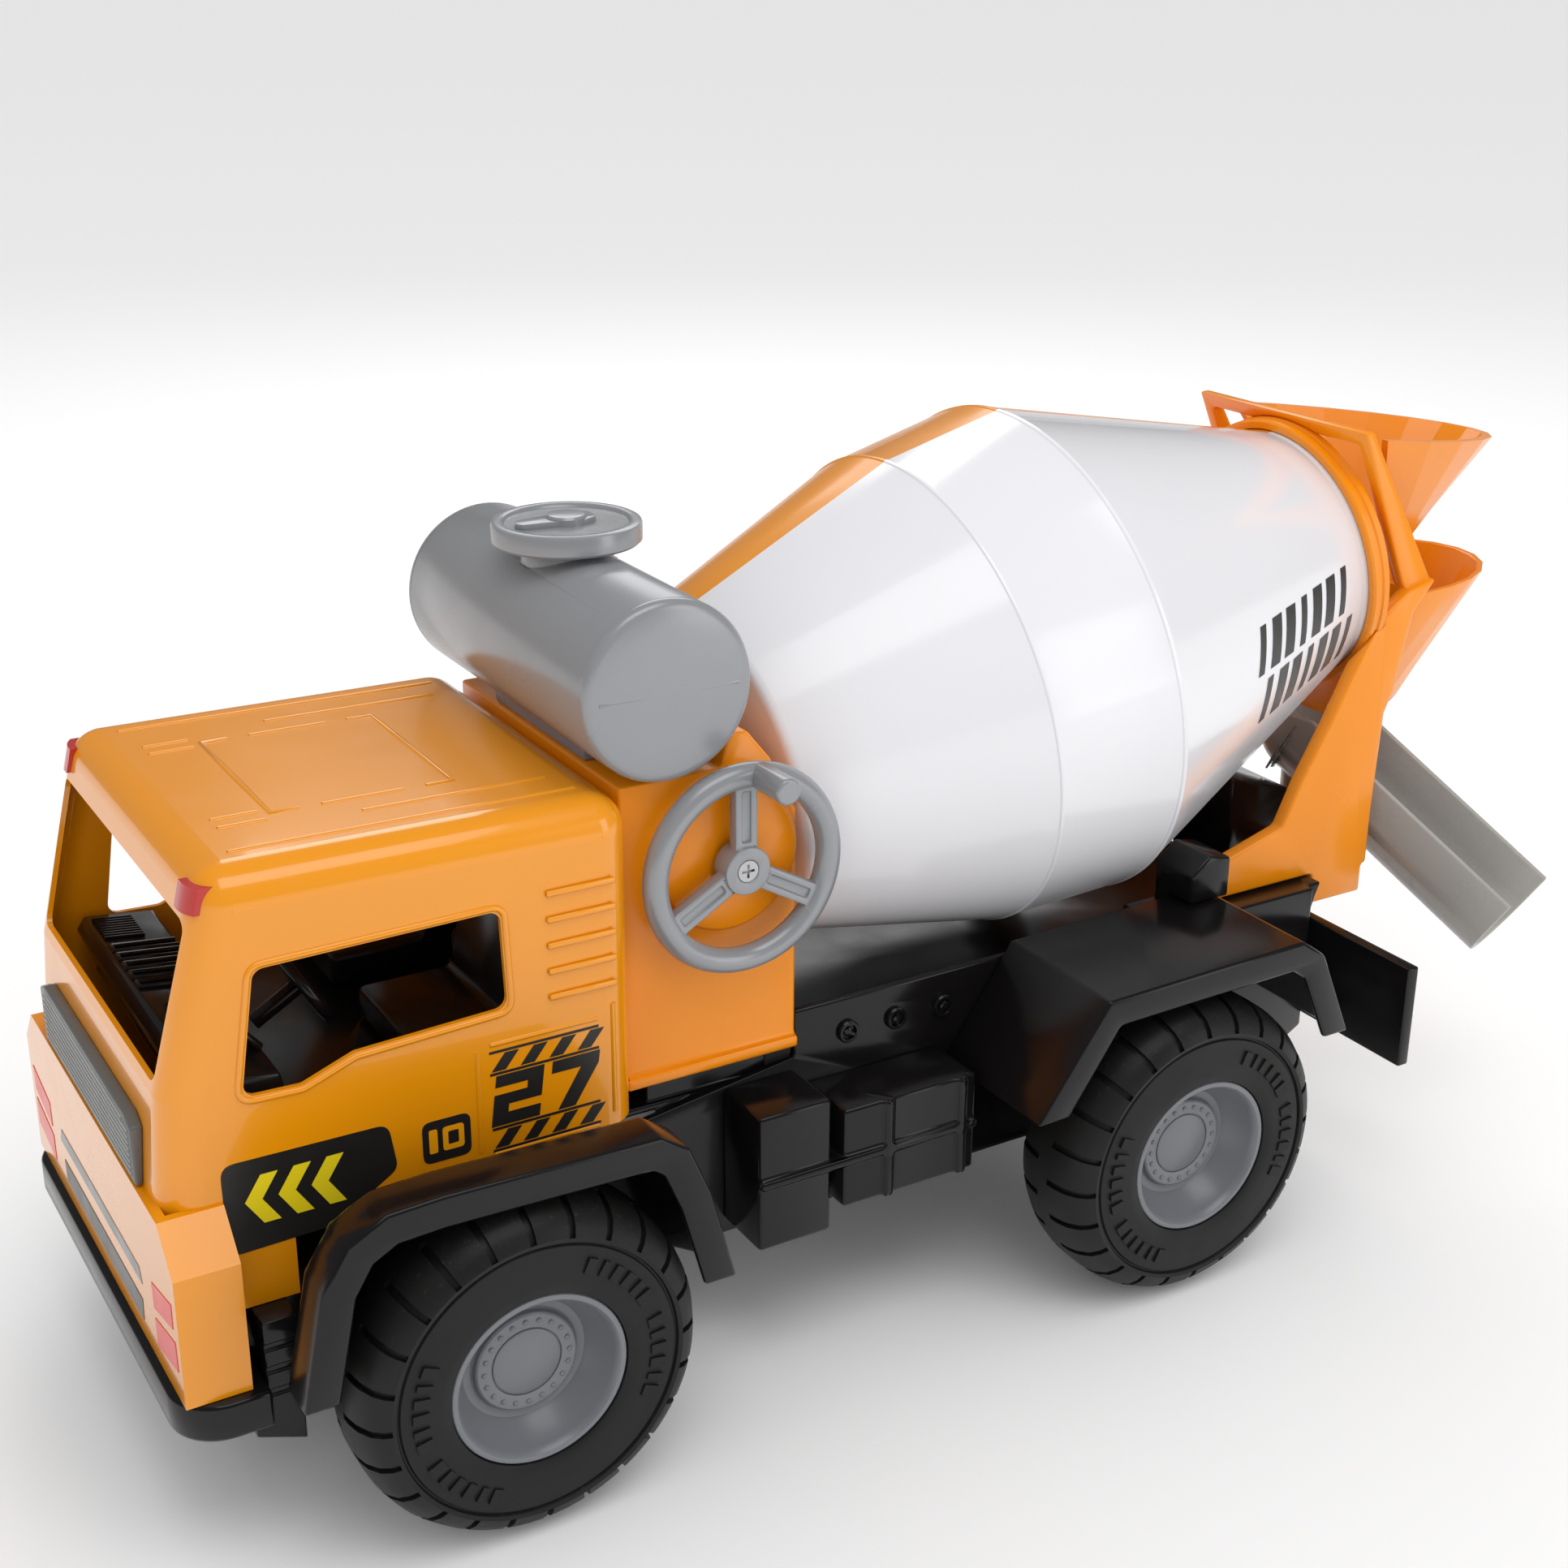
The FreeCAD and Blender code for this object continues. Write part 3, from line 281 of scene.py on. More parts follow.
# ---------------------------------------------------------------- screws, bushes and axles
# Bright drawn steel for the axles, shaft and screws; milky nylon for the bushes.
bright_steel = moulded("bright_steel", (0.42, 0.42, 0.43), (0.60, 0.60, 0.61), 0.22, 0.14, 900.0, 0.006,
                       metallic=1.0)
milky_nylon = moulded("milky_nylon", (0.66, 0.65, 0.60), (0.74, 0.73, 0.69), 0.38, 0.10, 1200.0, 0.006,
                      dust=0.03)
for node in ("front_axle", "rear_axle", "handwheel_shaft", "chassis_screws", "handwheel_screw",
             "lid_spring"):
    dress(node, bright_steel)
for node in ("axle_bushes", "crown_gear", "drive_pinion", "drum_stub"):
    dress(node, milky_nylon)

# ---------------------------------------------------------------- battery bay and sound unit
# Two cells on a tray, a green circuit board and a small loudspeaker, closed from
# below by a ribbed door.
cell_wrap = moulded("cell_wrap", (0.020, 0.070, 0.20), (0.035, 0.10, 0.27), 0.25, 0.12, 500.0, 0.004,
                    dust=0.03)
board_green = moulded("board_green", (0.008, 0.10, 0.035), (0.014, 0.16, 0.055), 0.30, 0.15, 700.0, 0.01,
                      dust=0.03)
speaker_cone = moulded("speaker_cone", (0.03, 0.03, 0.03), (0.05, 0.05, 0.05), 0.6, 0.2, 900.0, 0.02,
                       dust=0.03)
dress("batteries", cell_wrap)
dress("circuit_board", board_green)
dress("speaker", speaker_cone)
dress("battery_tray", gloss_black)
door = eased("battery_door", "battery_door_panel", 0.4)
door_low, door_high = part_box("battery_door")
door_ribs, door_margin = 9, 8 * MM
rib_pitch = (door_high.x - door_low.x - 2 * door_margin) / (door_ribs - 1)
pick(door)
bpy.ops.object.mode_set(mode="EDIT")
for i in range(door_ribs):
    bpy.ops.mesh.primitive_cube_add(
        size=1.0, location=(door_low.x + door_margin + i * rib_pitch, 0.0, door_low.z),
        scale=(2.0 * MM, 26 * MM, 0.9 * MM))
bpy.ops.object.mode_set(mode="OBJECT")
finish(door, gloss_black, "truck", ("battery_door",))

# ---------------------------------------------------------------- wheels
# Each wheel is a grey hub pressed into a hollow black tyre. The hub is a deep dish
# with a ring of bolt heads round a flat middle.


def lathe(name, rings, sides, centre=(0, 0, 0), axis=(0, 0, 1)):
    """rings of (radius, distance along the axis) in millimetres, skinned in order"""
    bpy.ops.object.select_all(action="DESELECT")
    radius, along = rings[0]
    bpy.ops.mesh.primitive_circle_add(vertices=sides, radius=max(radius, 0.002) * MM,
                                      location=(0, 0, along * MM))
    piece = bpy.context.object
    piece.name = name
    bpy.ops.object.transform_apply(location=True)
    bpy.ops.object.mode_set(mode="EDIT")
    bpy.ops.mesh.select_all(action="SELECT")
    for next_radius, next_along in rings[1:]:
        bpy.ops.mesh.extrude_edges_move(
            TRANSFORM_OT_translate={"value": (0, 0, (next_along - along) * MM)})
        grow = max(next_radius, 0.002) / max(radius, 0.002)
        bpy.ops.transform.resize(value=(grow, grow, 1), center_override=(0, 0, next_along * MM))
        radius, along = next_radius, next_along
    bpy.ops.mesh.select_all(action="SELECT")
    bpy.ops.mesh.remove_doubles(threshold=0.005 * MM)
    bpy.ops.mesh.normals_make_consistent(inside=False)
    bpy.ops.object.mode_set(mode="OBJECT")
    turn = Vector((0, 0, 1)).rotation_difference(Vector(axis).normalized())
    piece.rotation_euler = turn.to_euler()
    piece.location = centre
    bpy.ops.object.transform_apply(location=True, rotation=True)
    return piece


hub_low, hub_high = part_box("front_hub_left")
tyre_low, tyre_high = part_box("front_tyre_left")
rim_radius = (hub_high.x - hub_low.x) / 2 / MM
hub_in = (hub_low.y - tyre_low.y) / MM
hub_out = (hub_high.y - tyre_low.y) / MM
dish = hub_out - 8.8
hub_rings = [(2.6, hub_in), (rim_radius - 0.5, hub_in), (rim_radius, hub_in + 0.5),
             (rim_radius, hub_out - 0.5), (rim_radius - 0.25, hub_out - 0.12), (rim_radius - 0.7, hub_out),
             (rim_radius - 1.3, hub_out - 0.05), (rim_radius - 1.8, hub_out - 0.5),
             (rim_radius - 2.3, hub_out - 2.0), (rim_radius - 3.4, hub_out - 5.0), (14.6, dish + 1.0),
             (14.0, dish + 0.2), (13.2, dish), (12.3, dish), (11.9, dish + 0.3), (11.6, dish + 1.3),
             (11.2, dish + 1.6), (8.3, dish + 1.6), (8.1, dish + 1.5), (8.0, dish + 1.1),
             (7.8, dish + 1.1), (7.7, dish + 1.5), (7.3, dish + 1.7), (0.0, dish + 1.75)]
grey_hub = moulded("grey_hub_moulding", (0.165, 0.172, 0.188), (0.190, 0.198, 0.215), 0.30, 0.06, 1500.0,
                   0.010, metallic=0.15)
hub_master = lathe("hub_master", hub_rings, 72)
bolts, bolt_ring = 20, 9.8
pick(hub_master)
bpy.ops.object.mode_set(mode="EDIT")
for i in range(bolts):
    a = 2 * math.pi * i / bolts
    bpy.ops.mesh.primitive_uv_sphere_add(
        segments=10, ring_count=6, radius=0.62 * MM,
        location=(bolt_ring * math.cos(a) * MM, bolt_ring * math.sin(a) * MM, (dish + 1.6) * MM),
        scale=(1, 1, 0.75))
bpy.ops.object.mode_set(mode="OBJECT")

# The tyre is a hollow rubbery moulding: 24 lugs notched over the shoulder, a round
# groove in the side wall and two arcs of plain raised dashes.
tyre_radius = (tyre_high.x - tyre_low.x) / 2 / MM
tyre_width = (tyre_high.y - tyre_low.y) / MM
groove = 31.6
tyre_rings = [(rim_radius + 0.05, tyre_width - 2.0), (rim_radius + 0.2, tyre_width - 1.1),
              (rim_radius + 0.8, tyre_width - 0.7), (rim_radius + 3.0, tyre_width - 0.3),
              (groove - 4, tyre_width - 0.6), (groove - 0.5, tyre_width - 0.95),
              (groove - 0.15, tyre_width - 1.5), (groove + 0.2, tyre_width - 1.5),
              (groove + 0.5, tyre_width - 0.8), (groove + 1.4, tyre_width - 0.6),
              (tyre_radius - 4.4, tyre_width - 1.4), (tyre_radius - 2.4, tyre_width - 3.2),
              (tyre_radius - 0.8, tyre_width - 6.4), (tyre_radius - 0.1, tyre_width - 9.6),
              (tyre_radius, tyre_width - 12.0), (tyre_radius, 12.0), (tyre_radius - 0.1, 9.6),
              (tyre_radius - 0.8, 6.4), (tyre_radius - 2.4, 3.2), (tyre_radius - 4.4, 1.4),
              (groove + 1.4, 0.6), (groove - 4, 0.6), (rim_radius + 3.0, 0.5), (rim_radius + 0.8, 0.9),
              (rim_radius + 0.05, 2.0),
              (rim_radius + 0.05, tyre_width - 2.0)]
lugs, cuts_per_lug = 24, 6
tyre_master = lathe("tyre_master", tyre_rings, lugs * cuts_per_lug)
pick(tyre_master)
for outer in (True, False):
    # a slot between two lugs, staggered half a lug from one shoulder to the other
    for face in tyre_master.data.polygons:
        middle = face.center / MM
        turn = math.atan2(middle.y, middle.x) / (2 * math.pi) * lugs + (0.0 if outer else 0.5)
        in_slot = (turn % 1.0) < 1.0 / cuts_per_lug
        if outer:
            in_band = middle.z > tyre_width - 11.0
        else:
            in_band = middle.z < 11.0
        far_out = math.hypot(middle.x, middle.y) > groove + 1.5
        face.select = in_slot and in_band and far_out
    for edge in tyre_master.data.edges:
        edge.select = False
    for vertex in tyre_master.data.vertices:
        vertex.select = False
    bpy.ops.object.mode_set(mode="EDIT")
    bpy.context.tool_settings.mesh_select_mode = (False, False, True)
    bpy.ops.mesh.extrude_region_shrink_fatten(TRANSFORM_OT_shrink_fatten={"value": -1.1 * MM})
    bpy.ops.object.mode_set(mode="OBJECT")
bpy.ops.object.mode_set(mode="EDIT")
bpy.ops.mesh.select_all(action="DESELECT")
dash_ring, dash_step = 27.0, 7.4
dash_lengths = (2.6, 1.4, 2.2, 2.2, 1.6, 2.4, 0.0, 2.8, 1.8, 2.0, 2.0, 1.4, 2.2)
for arc_middle in (20.0, 200.0):
    for i, size in enumerate(dash_lengths):
        if not size:
            continue
        a = math.radians(arc_middle + (i - 6) * dash_step)
        dash_place = Vector((dash_ring * math.cos(a), dash_ring * math.sin(a), tyre_width - 0.35)) * MM
        bpy.ops.mesh.primitive_cube_add(
            size=1.0, location=dash_place, rotation=(0, 0, a), scale=(3.6 * MM, size * MM, 0.7 * MM))
bpy.ops.object.mode_set(mode="OBJECT")
tyre_rubber = moulded("tyre_rubber", (0.0085, 0.0085, 0.0082), (0.0115, 0.0115, 0.0110), 0.42, 0.10,
                      1900.0, 0.012, dust=0.04)
tyre_rubber.node_tree.nodes["Principled BSDF"].inputs["Specular IOR Level"].default_value = 0.28
for end in ("front", "rear"):
    for side_name, side in (("left", 1), ("right", -1)):
        low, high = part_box("%s_tyre_%s" % (end, side_name))
        middle = (low + high) / 2
        start = low.y if side > 0 else high.y
        for kind, master, material, slot in (("hub", hub_master, grey_hub, "hub_grey"),
                                             ("tyre", tyre_master, tyre_rubber, "tyre_black")):
            node = "%s_%s_%s" % (end, kind, side_name)
            piece = bpy.data.objects.new(node + "_detailed", master.data.copy())
            scene.collection.objects.link(piece)
            turn = Vector((0, 0, 1)).rotation_difference(Vector((0, side, 0)))
            piece.rotation_euler = turn.to_euler()
            piece.location = (middle.x, start, middle.z)
            finish(piece, material, end + "_wheels", (node,), smooth=32.0)
bpy.data.objects.remove(hub_master)
bpy.data.objects.remove(tyre_master)

# ---------------------------------------------------------------- side boxes, plates and fenders
# Black mouldings clipped to the chassis walls, all from the same glossy plastic.
for node, width in (("side_box_left", 0.9), ("side_box_right", 0.9), ("rear_plate", 0.6), ("bumper", 0.9),
                    ("step_panel_left", 0.4), ("step_panel_right", 0.4), ("front_fender_left", 0.8),
                    ("front_fender_right", 0.8), ("rear_fender_left", 0.8), ("rear_fender_right", 0.8)):
    finish(eased(node, node + "_moulding", width), gloss_black, "truck", (node,))

# ---------------------------------------------------------------- control discs
# Three round studs a side on the chassis wall, each a raised rim round a slotted boss.
disc_low, disc_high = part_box("control_discs")
disc_radius = (disc_high.z - disc_low.z) / 2
disc_z = (disc_low.z + disc_high.z) / 2
disc_pitch = (disc_high.x - disc_low.x - 2 * disc_radius) / 2
stud_rings = [(2.9, -0.2), (2.9, 1.1), (2.6, 1.5), (2.0, 1.5), (1.8, 1.2), (1.8, 0.7), (1.3, 0.7),
              (1.2, 1.3), (0.9, 1.5), (0.0, 1.5)]


def gathered(pieces, name):
    """several meshes made one"""
    bpy.ops.object.select_all(action="DESELECT")
    for piece in pieces:
        piece.select_set(True)
    bpy.context.view_layer.objects.active = pieces[0]
    bpy.ops.object.join()
    pieces[0].name = name
    return pieces[0]


studs = []
for side in (1, -1):
    for i in range(3):
        x = disc_low.x + disc_radius + i * disc_pitch
        stud = lathe("stud", stud_rings, 32, (x, side * (disc_high.y - 1.6 * MM), disc_z), (0, side, 0))
        bpy.ops.object.mode_set(mode="EDIT")
        bpy.ops.mesh.primitive_cube_add(
            size=1.0, location=(x, side * (disc_high.y - 0.5 * MM), disc_z),
            rotation=(0, 0.6 + i, 0), scale=(3.4 * MM, 0.9 * MM, 0.7 * MM))
        bpy.ops.object.mode_set(mode="OBJECT")
        studs.append(stud)
finish(gathered(studs, "wall_studs"), gloss_black, "truck", ("control_discs",))

# ---------------------------------------------------------------- the cab
# A pressed steel shell in gloss yellow enamel. Beads pressed into the roof and doors
# stiffen it, the side windows have a folded lip, and the louvres stand proud.
cab_low, cab_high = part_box("cab_shell")
door_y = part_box("cab_louvres")[1].y / MM - 0.9
roof_rear_z, roof_rise = 150.2, 0.013


def rounded(outline, radius, steps=5):
    """the outline with its corners turned at about that radius"""
    turned = []
    for i, place in enumerate(outline):
        corner = Vector(place)
        before = Vector(outline[i - 1]) - corner
        after = Vector(outline[(i + 1) % len(outline)]) - corner
        cut = radius / math.tan(before.angle(after) / 2)
        start = corner + before.normalized() * min(cut, before.length * 0.45)
        end = corner + after.normalized() * min(cut, after.length * 0.45)
        for k in range(steps + 1):
            t = k / steps
            turned.append(start * (1 - t) ** 2 + corner * 2 * t * (1 - t) + end * t * t)
    return turned


def grown(outline, distance):
    """the outline moved outwards by that distance"""
    area = 0.0
    for i, here in enumerate(outline):
        area += outline[i - 1][0] * here[1] - outline[i - 1][1] * here[0]
    way = math.copysign(1.0, area)
    moved = []
    for i, place in enumerate(outline):
        here = Vector(place)
        a = (here - Vector(outline[i - 1])).normalized()
        b = (Vector(outline[(i + 1) % len(outline)]) - here).normalized()
        out_a = Vector((a.y, -a.x)) * way
        out = (out_a + Vector((b.y, -b.x)) * way).normalized()
        moved.append(here + out * distance / max(0.4, out.dot(out_a)))
    return moved


def from_curve(curve, name):
    """the curve as a closed mesh"""
    piece = bpy.data.objects.new(name, curve)
    scene.collection.objects.link(piece)
    pick(piece)
    bpy.ops.object.convert(target="MESH")
    piece = bpy.context.object
    bpy.ops.object.mode_set(mode="EDIT")
    bpy.ops.mesh.select_all(action="SELECT")
    bpy.ops.mesh.remove_doubles(threshold=0.001 * MM)
    bpy.ops.mesh.normals_make_consistent(inside=False)
    bpy.ops.object.mode_set(mode="OBJECT")
    return piece


def bead(name, points, radius, closed=False):
    """a round bead of that radius along the points, all in millimetres"""
    curve = bpy.data.curves.new(name, "CURVE")
    curve.dimensions = "3D"
    curve.bevel_depth = radius * MM
    curve.bevel_resolution = 2
    curve.use_fill_caps = not closed
    line = curve.splines.new("POLY")
    line.points.add(len(points) - 1)
    for point, place in zip(line.points, points):
        point.co = (place[0] * MM, place[1] * MM, place[2] * MM, 1.0)
    line.use_cyclic_u = closed
    return from_curve(curve, name)


def film(name, outlines, origin, across, up, thick):
    """a flat cut-out that thick: outlines in millimetres along across and up from the origin"""
    curve = bpy.data.curves.new(name, "CURVE")
    curve.dimensions = "2D"
    curve.fill_mode = "BOTH"
    curve.extrude = thick / 2 * MM
    for outline in outlines:
        line = curve.splines.new("POLY")
        line.points.add(len(outline) - 1)
        for point, place in zip(line.points, outline):
            point.co = (place[0] * MM, place[1] * MM, 0.0, 1.0)
        line.use_cyclic_u = True
    piece = from_curve(curve, name)
    out = across.cross(up)
    centre = Vector(origin) * MM + out * (thick / 2 * MM)
    piece.matrix_world = Matrix((
        (across.x, up.x, out.x, centre.x),
        (across.y, up.y, out.y, centre.y),
        (across.z, up.z, out.z, centre.z),
        (0.0, 0.0, 0.0, 1.0)))
    bpy.ops.object.transform_apply(location=True, rotation=True, scale=True)
    return piece


def side_film(name, outlines, y, thick, side):
    """a cut-out on a side wall, its outlines given as (x, z)"""
    turned = [[(-side * x, z) for x, z in outline] for outline in outlines]
    return film(name, turned, (0, side * y, 0), Vector((-side, 0, 0)), Vector((0, 0, 1)), thick)


def roof_z(x):
    return roof_rear_z + (x - cab_low.x / MM) * roof_rise


enamel = moulded("yellow_enamel", (0.80, 0.283, 0.0012), (0.84, 0.300, 0.0015), 0.20, 0.05, 700.0, 0.003,
                 coat=0.7, coat_roughness=0.05)
dress("cab_shell", enamel)
finish(eased("cab_louvres", "pressed_louvres", 0.35), enamel, "truck", ("cab_louvres",))
bead_sink, roof_bead_r, door_bead_r = 0.45, 0.85, 0.75
roof_runs = []
for side in (1, -1):
    roof_runs.append([(102, side * 40), (177, side * 40)])
    roof_runs.append([(105, side * 31.5), (146, side * 31.5)])
    roof_runs.append([(123, side * 8), (123, side * 24), (129, side * 24)])
    roof_runs.append([(134, side * 24), (152, side * 24)])
    roof_runs.append([(157, side * 24), (163, side * 24), (163, side * 8)])
    roof_runs.append([(165, side * 22), (175, side * 22)])
    roof_runs.append([(165, side * 27), (175, side * 27)])
roof_runs.append([(123, -8), (123, 8)])
roof_runs.append([(163, -8), (163, 8)])
beads = []
for run in roof_runs:
    beads.append(bead("roof_bead", [(x, y, roof_z(x) - bead_sink) for x, y in run], roof_bead_r))
side_window = [(177.4, 130.4), (125.0, 131.2), (124.1, 108.6), (157.9, 107.1), (169.3, 102.8),
               (181.7, 103.2)]
door_runs = [[(103.5, 100.8), (128.5, 100.8)], [(103.5, 74.6), (128.5, 74.6)],
             [(99.6, 77.0), (99.6, 103.5)], [(131.6, 76.0), (131.6, 100.0)]]
for side in (1, -1):
    lip = [(x, side * (door_y - 0.2), z) for x, z in rounded(grown(side_window, 1.0), 3.4)]
    beads.append(bead("window_lip", lip, roof_bead_r, closed=True))
    for run in door_runs:
        run_3d = [(x, side * (door_y - bead_sink), z) for x, z in run]
        beads.append(bead("door_bead", run_3d, door_bead_r))
finish(gathered(beads, "pressed_beads"), enamel, "truck", (), smooth=60.0)

red_lens = moulded("red_lens", (0.42, 0.012, 0.006), (0.55, 0.018, 0.010), 0.12, 0.08, 600.0, 0.003,
                   coat=0.5)
dress("roof_markers", red_lens)

# ---------------------------------------------------------------- stickers
# Printed vinyl stickers, about a tenth of a millimetre thick: a hazard panel, a nose
# panel and a door handle on each side, and bars and lamps across the nose.
vinyl = 0.12
black_print = moulded("black_print", (0.012, 0.011, 0.010), (0.020, 0.018, 0.016), 0.30, 0.12, 900.0,
                      0.004)
yellow_print = moulded("yellow_print", (0.80, 0.62, 0.010), (0.84, 0.66, 0.014), 0.30, 0.12, 900.0, 0.004)
amber_print = moulded("amber_print", (0.84, 0.330, 0.0025), (0.90, 0.362, 0.003), 0.30, 0.10, 900.0,
                      0.004)
lamp_print = moulded("lamp_print", (0.74, 0.035, 0.022), (0.80, 0.045, 0.028), 0.28, 0.10, 900.0, 0.004,
                     coat=0.3)
grille_print = moulded("grille_print", (0.110, 0.110, 0.104), (0.140, 0.140, 0.134), 0.32, 0.12, 900.0,
                       0.004)
light_print = moulded("light_print", (0.27, 0.27, 0.26), (0.33, 0.33, 0.32), 0.32, 0.12, 900.0, 0.004)
panel_x, panel_half = 116.0, 12.8
number_low, number_high = 81.2, 93.2
digit_wide, digit_lean = 11.2, 1.6
slash_count, slash_pitch, slash_wide, slash_high = 4, 6.7, 3.2, 4.0
digit_two = [(0, 1), (1, 1), (1, 0.4), (0.32, 0.4), (0.32, 0.24), (1, 0.24), (1, 0), (0, 0), (0, 0.62),
             (0.68, 0.62), (0.68, 0.77), (0, 0.77)]
digit_seven = [(0, 1), (1, 1), (1, 0.76), (0.58, 0), (0.22, 0), (0.63, 0.76), (0, 0.76)]
nose_outline = rounded([(187.6, 89.2), (152, 88.8), (150.4, 77.9), (164.9, 68.7), (187.4, 68.1)], 3.0)
handle_outline = rounded([(133.8, 76.7), (144.7, 76.7), (144.7, 86.6), (133.8, 86.6)], 2.0)
pull = [(135.4, 79.0), (140.2, 79.0), (140.2, 84.6), (135.4, 84.6)]
lock = [(141.4, 79.0), (143.3, 79.0), (143.3, 84.6), (141.4, 84.6)]
handle_marks = [rounded(pull, 0.8), rounded(grown(pull, -1.2), 0.4), rounded(lock, 0.5)]
chevrons = []
for x in (162.0, 169.0, 176.0):
    chevrons.append([(x, 74.0), (x + 3.6, 74.0), (x + 7.2, 79.6), (x + 3.6, 85.2), (x, 85.2),
                     (x + 3.6, 79.6)])
for side, side_name in ((1, "left"), (-1, "right")):
    # the number reads the right way round on both doors
    middle_x = -side * panel_x
    number = []
    for outline, start in ((digit_two, -12.2), (digit_seven, 1.0)):
        number.append([(middle_x + start + digit_wide * a + digit_lean * (b - 0.5),
                        number_low + (number_high - number_low) * b) for a, b in outline])
    for low_z in (76.0, 94.4):
        for i in range(slash_count):
            left = middle_x - panel_half + 0.4 + i * slash_pitch
            top_z = low_z + slash_high
            number.append([(left, low_z), (left + slash_wide, low_z), (left + 2 * slash_wide, top_z),
                           (left + slash_wide, top_z)])
        for edge_z in (low_z - 0.9, low_z + 4.3):
            number.append([(middle_x - panel_half, edge_z), (middle_x + panel_half, edge_z),
                           (middle_x + panel_half, edge_z + 0.6), (middle_x - panel_half, edge_z + 0.6)])
    hazard = film("hazard_panel_" + side_name, number, (0, side * door_y, 0), Vector((-side, 0, 0)),
                  Vector((0, 0, 1)), vinyl)
    finish(hazard, black_print, "truck")
    for name, outlines, under, material in (("nose_panel_", [nose_outline], 0.0, black_print),
                                            ("nose_chevrons_", chevrons, vinyl, yellow_print),
                                            ("handle_panel_", [handle_outline], 0.0, black_print),
                                            ("handle_print_", handle_marks, vinyl, amber_print)):
        finish(side_film(name + side_name, outlines, door_y + under, vinyl, side), material, "truck")

nose_x = cab_high.x / MM
lamps = []
for side in (1, -1):
    for outline in ([(42.5, 55.8), (57.0, 59.2), (57.4, 65.2), (42.5, 62.0)],
                    [(42.5, 46.6), (57.8, 49.4), (57.6, 56.4), (42.5, 53.4)]):
        lamps.append([(side * y, z) for y, z in outline])
upper_bar = [(-34, 56.5), (34, 56.5), (32.5, 60), (-32.5, 60)]
lower_bar = [(-32, 46.5), (32, 46.5), (32.6, 52), (-32.6, 52)]
for name, outlines, material in (("nose_bar_upper", [upper_bar], light_print),
                                 ("nose_bar_lower", [lower_bar], grille_print),
                                 ("nose_lamps", lamps, lamp_print)):
    nose_film = film(name, outlines, (nose_x, 0, 0), Vector((0, 1, 0)), Vector((0, 0, 1)), vinyl)
    finish(nose_film, material, "truck")

# The grille is a low panel with nine fine bars across it and a notch at its top.
grille_low, grille_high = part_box("grille_panel")
finish(eased("grille_panel", "grille_moulding", 0.5), grille_print, "truck", ("grille_panel",))
grille_bars = []
bar_count, bar_margin = 9, 1.8
bar_x = grille_high.x / MM - 0.15
bar_rise = ((grille_high.z - grille_low.z) / MM - 2 * bar_margin) / (bar_count - 1)
for i in range(bar_count):
    z = grille_low.z / MM + bar_margin + i * bar_rise
    half = 35.2 if i < bar_count - 1 else 31.5
    grille_bars.append(bead("grille_bar", [(bar_x, -half, z), (bar_x, half, z)], 0.42))
finish(gathered(grille_bars, "grille_bars"), light_print, "truck", (), smooth=60.0)

# ---------------------------------------------------------------- inside the cab
# One gloss black tray with the dashboard moulded on it, two seats and a steering wheel.
dash_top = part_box("cab_interior")[1].z / MM
finish(eased("cab_interior", "cab_tray", 0.7), gloss_black, "truck", ("cab_interior",))
finish(eased("seats", "seat_pair", 1.6, segments=3), gloss_black, "truck", ("seats",))
finish(eased("steering_wheel", "steering_wheel_ring", 0.2, angle=50.0), gloss_black, "truck",
       ("steering_wheel",))
dash_ribs = []
for i in range(5):
    y = -2.0 - i * 5.2
    loop = [(172.6, y, dash_top - 1.6), (187.0, y, dash_top + 0.1), (187.0, y - 3.2, dash_top + 0.1),
            (172.6, y - 3.2, dash_top - 1.6)]
    dash_ribs.append(bead("dash_loop", loop, 0.7))
for i in range(9):
    y = -31.0 - i * 1.4
    dash_ribs.append(bead("dash_vent", [(178.0, y, dash_top - 1.0), (187.0, y, dash_top + 0.1)], 0.4))
for y in (14.0, 34.0):
    hood = [(172.5, y, dash_top - 1.8), (176.0, y, dash_top + 2.6), (186.0, y, dash_top + 2.2)]
    dash_ribs.append(bead("dash_hood", hood, 1.1))
dash_ribs.append(bead("dash_hood", [(176.0, 14.0, dash_top + 2.6), (176.0, 34.0, dash_top + 2.6)], 1.1))
finish(gathered(dash_ribs, "dash_mouldings"), gloss_black, "truck", (), smooth=60.0)

# ---------------------------------------------------------------- the drum housing
# An orange box moulding behind the cab, with a round plate for the handwheel and a
# slotted shoulder under the drum.
orange_plastic = moulded("orange_moulding", (0.86, 0.262, 0.002), (0.90, 0.282, 0.003), 0.22, 0.06,
                         1400.0, 0.006)
finish(eased("drum_housing", "housing_moulding", 0.8), orange_plastic, "truck", ("drum_housing",))

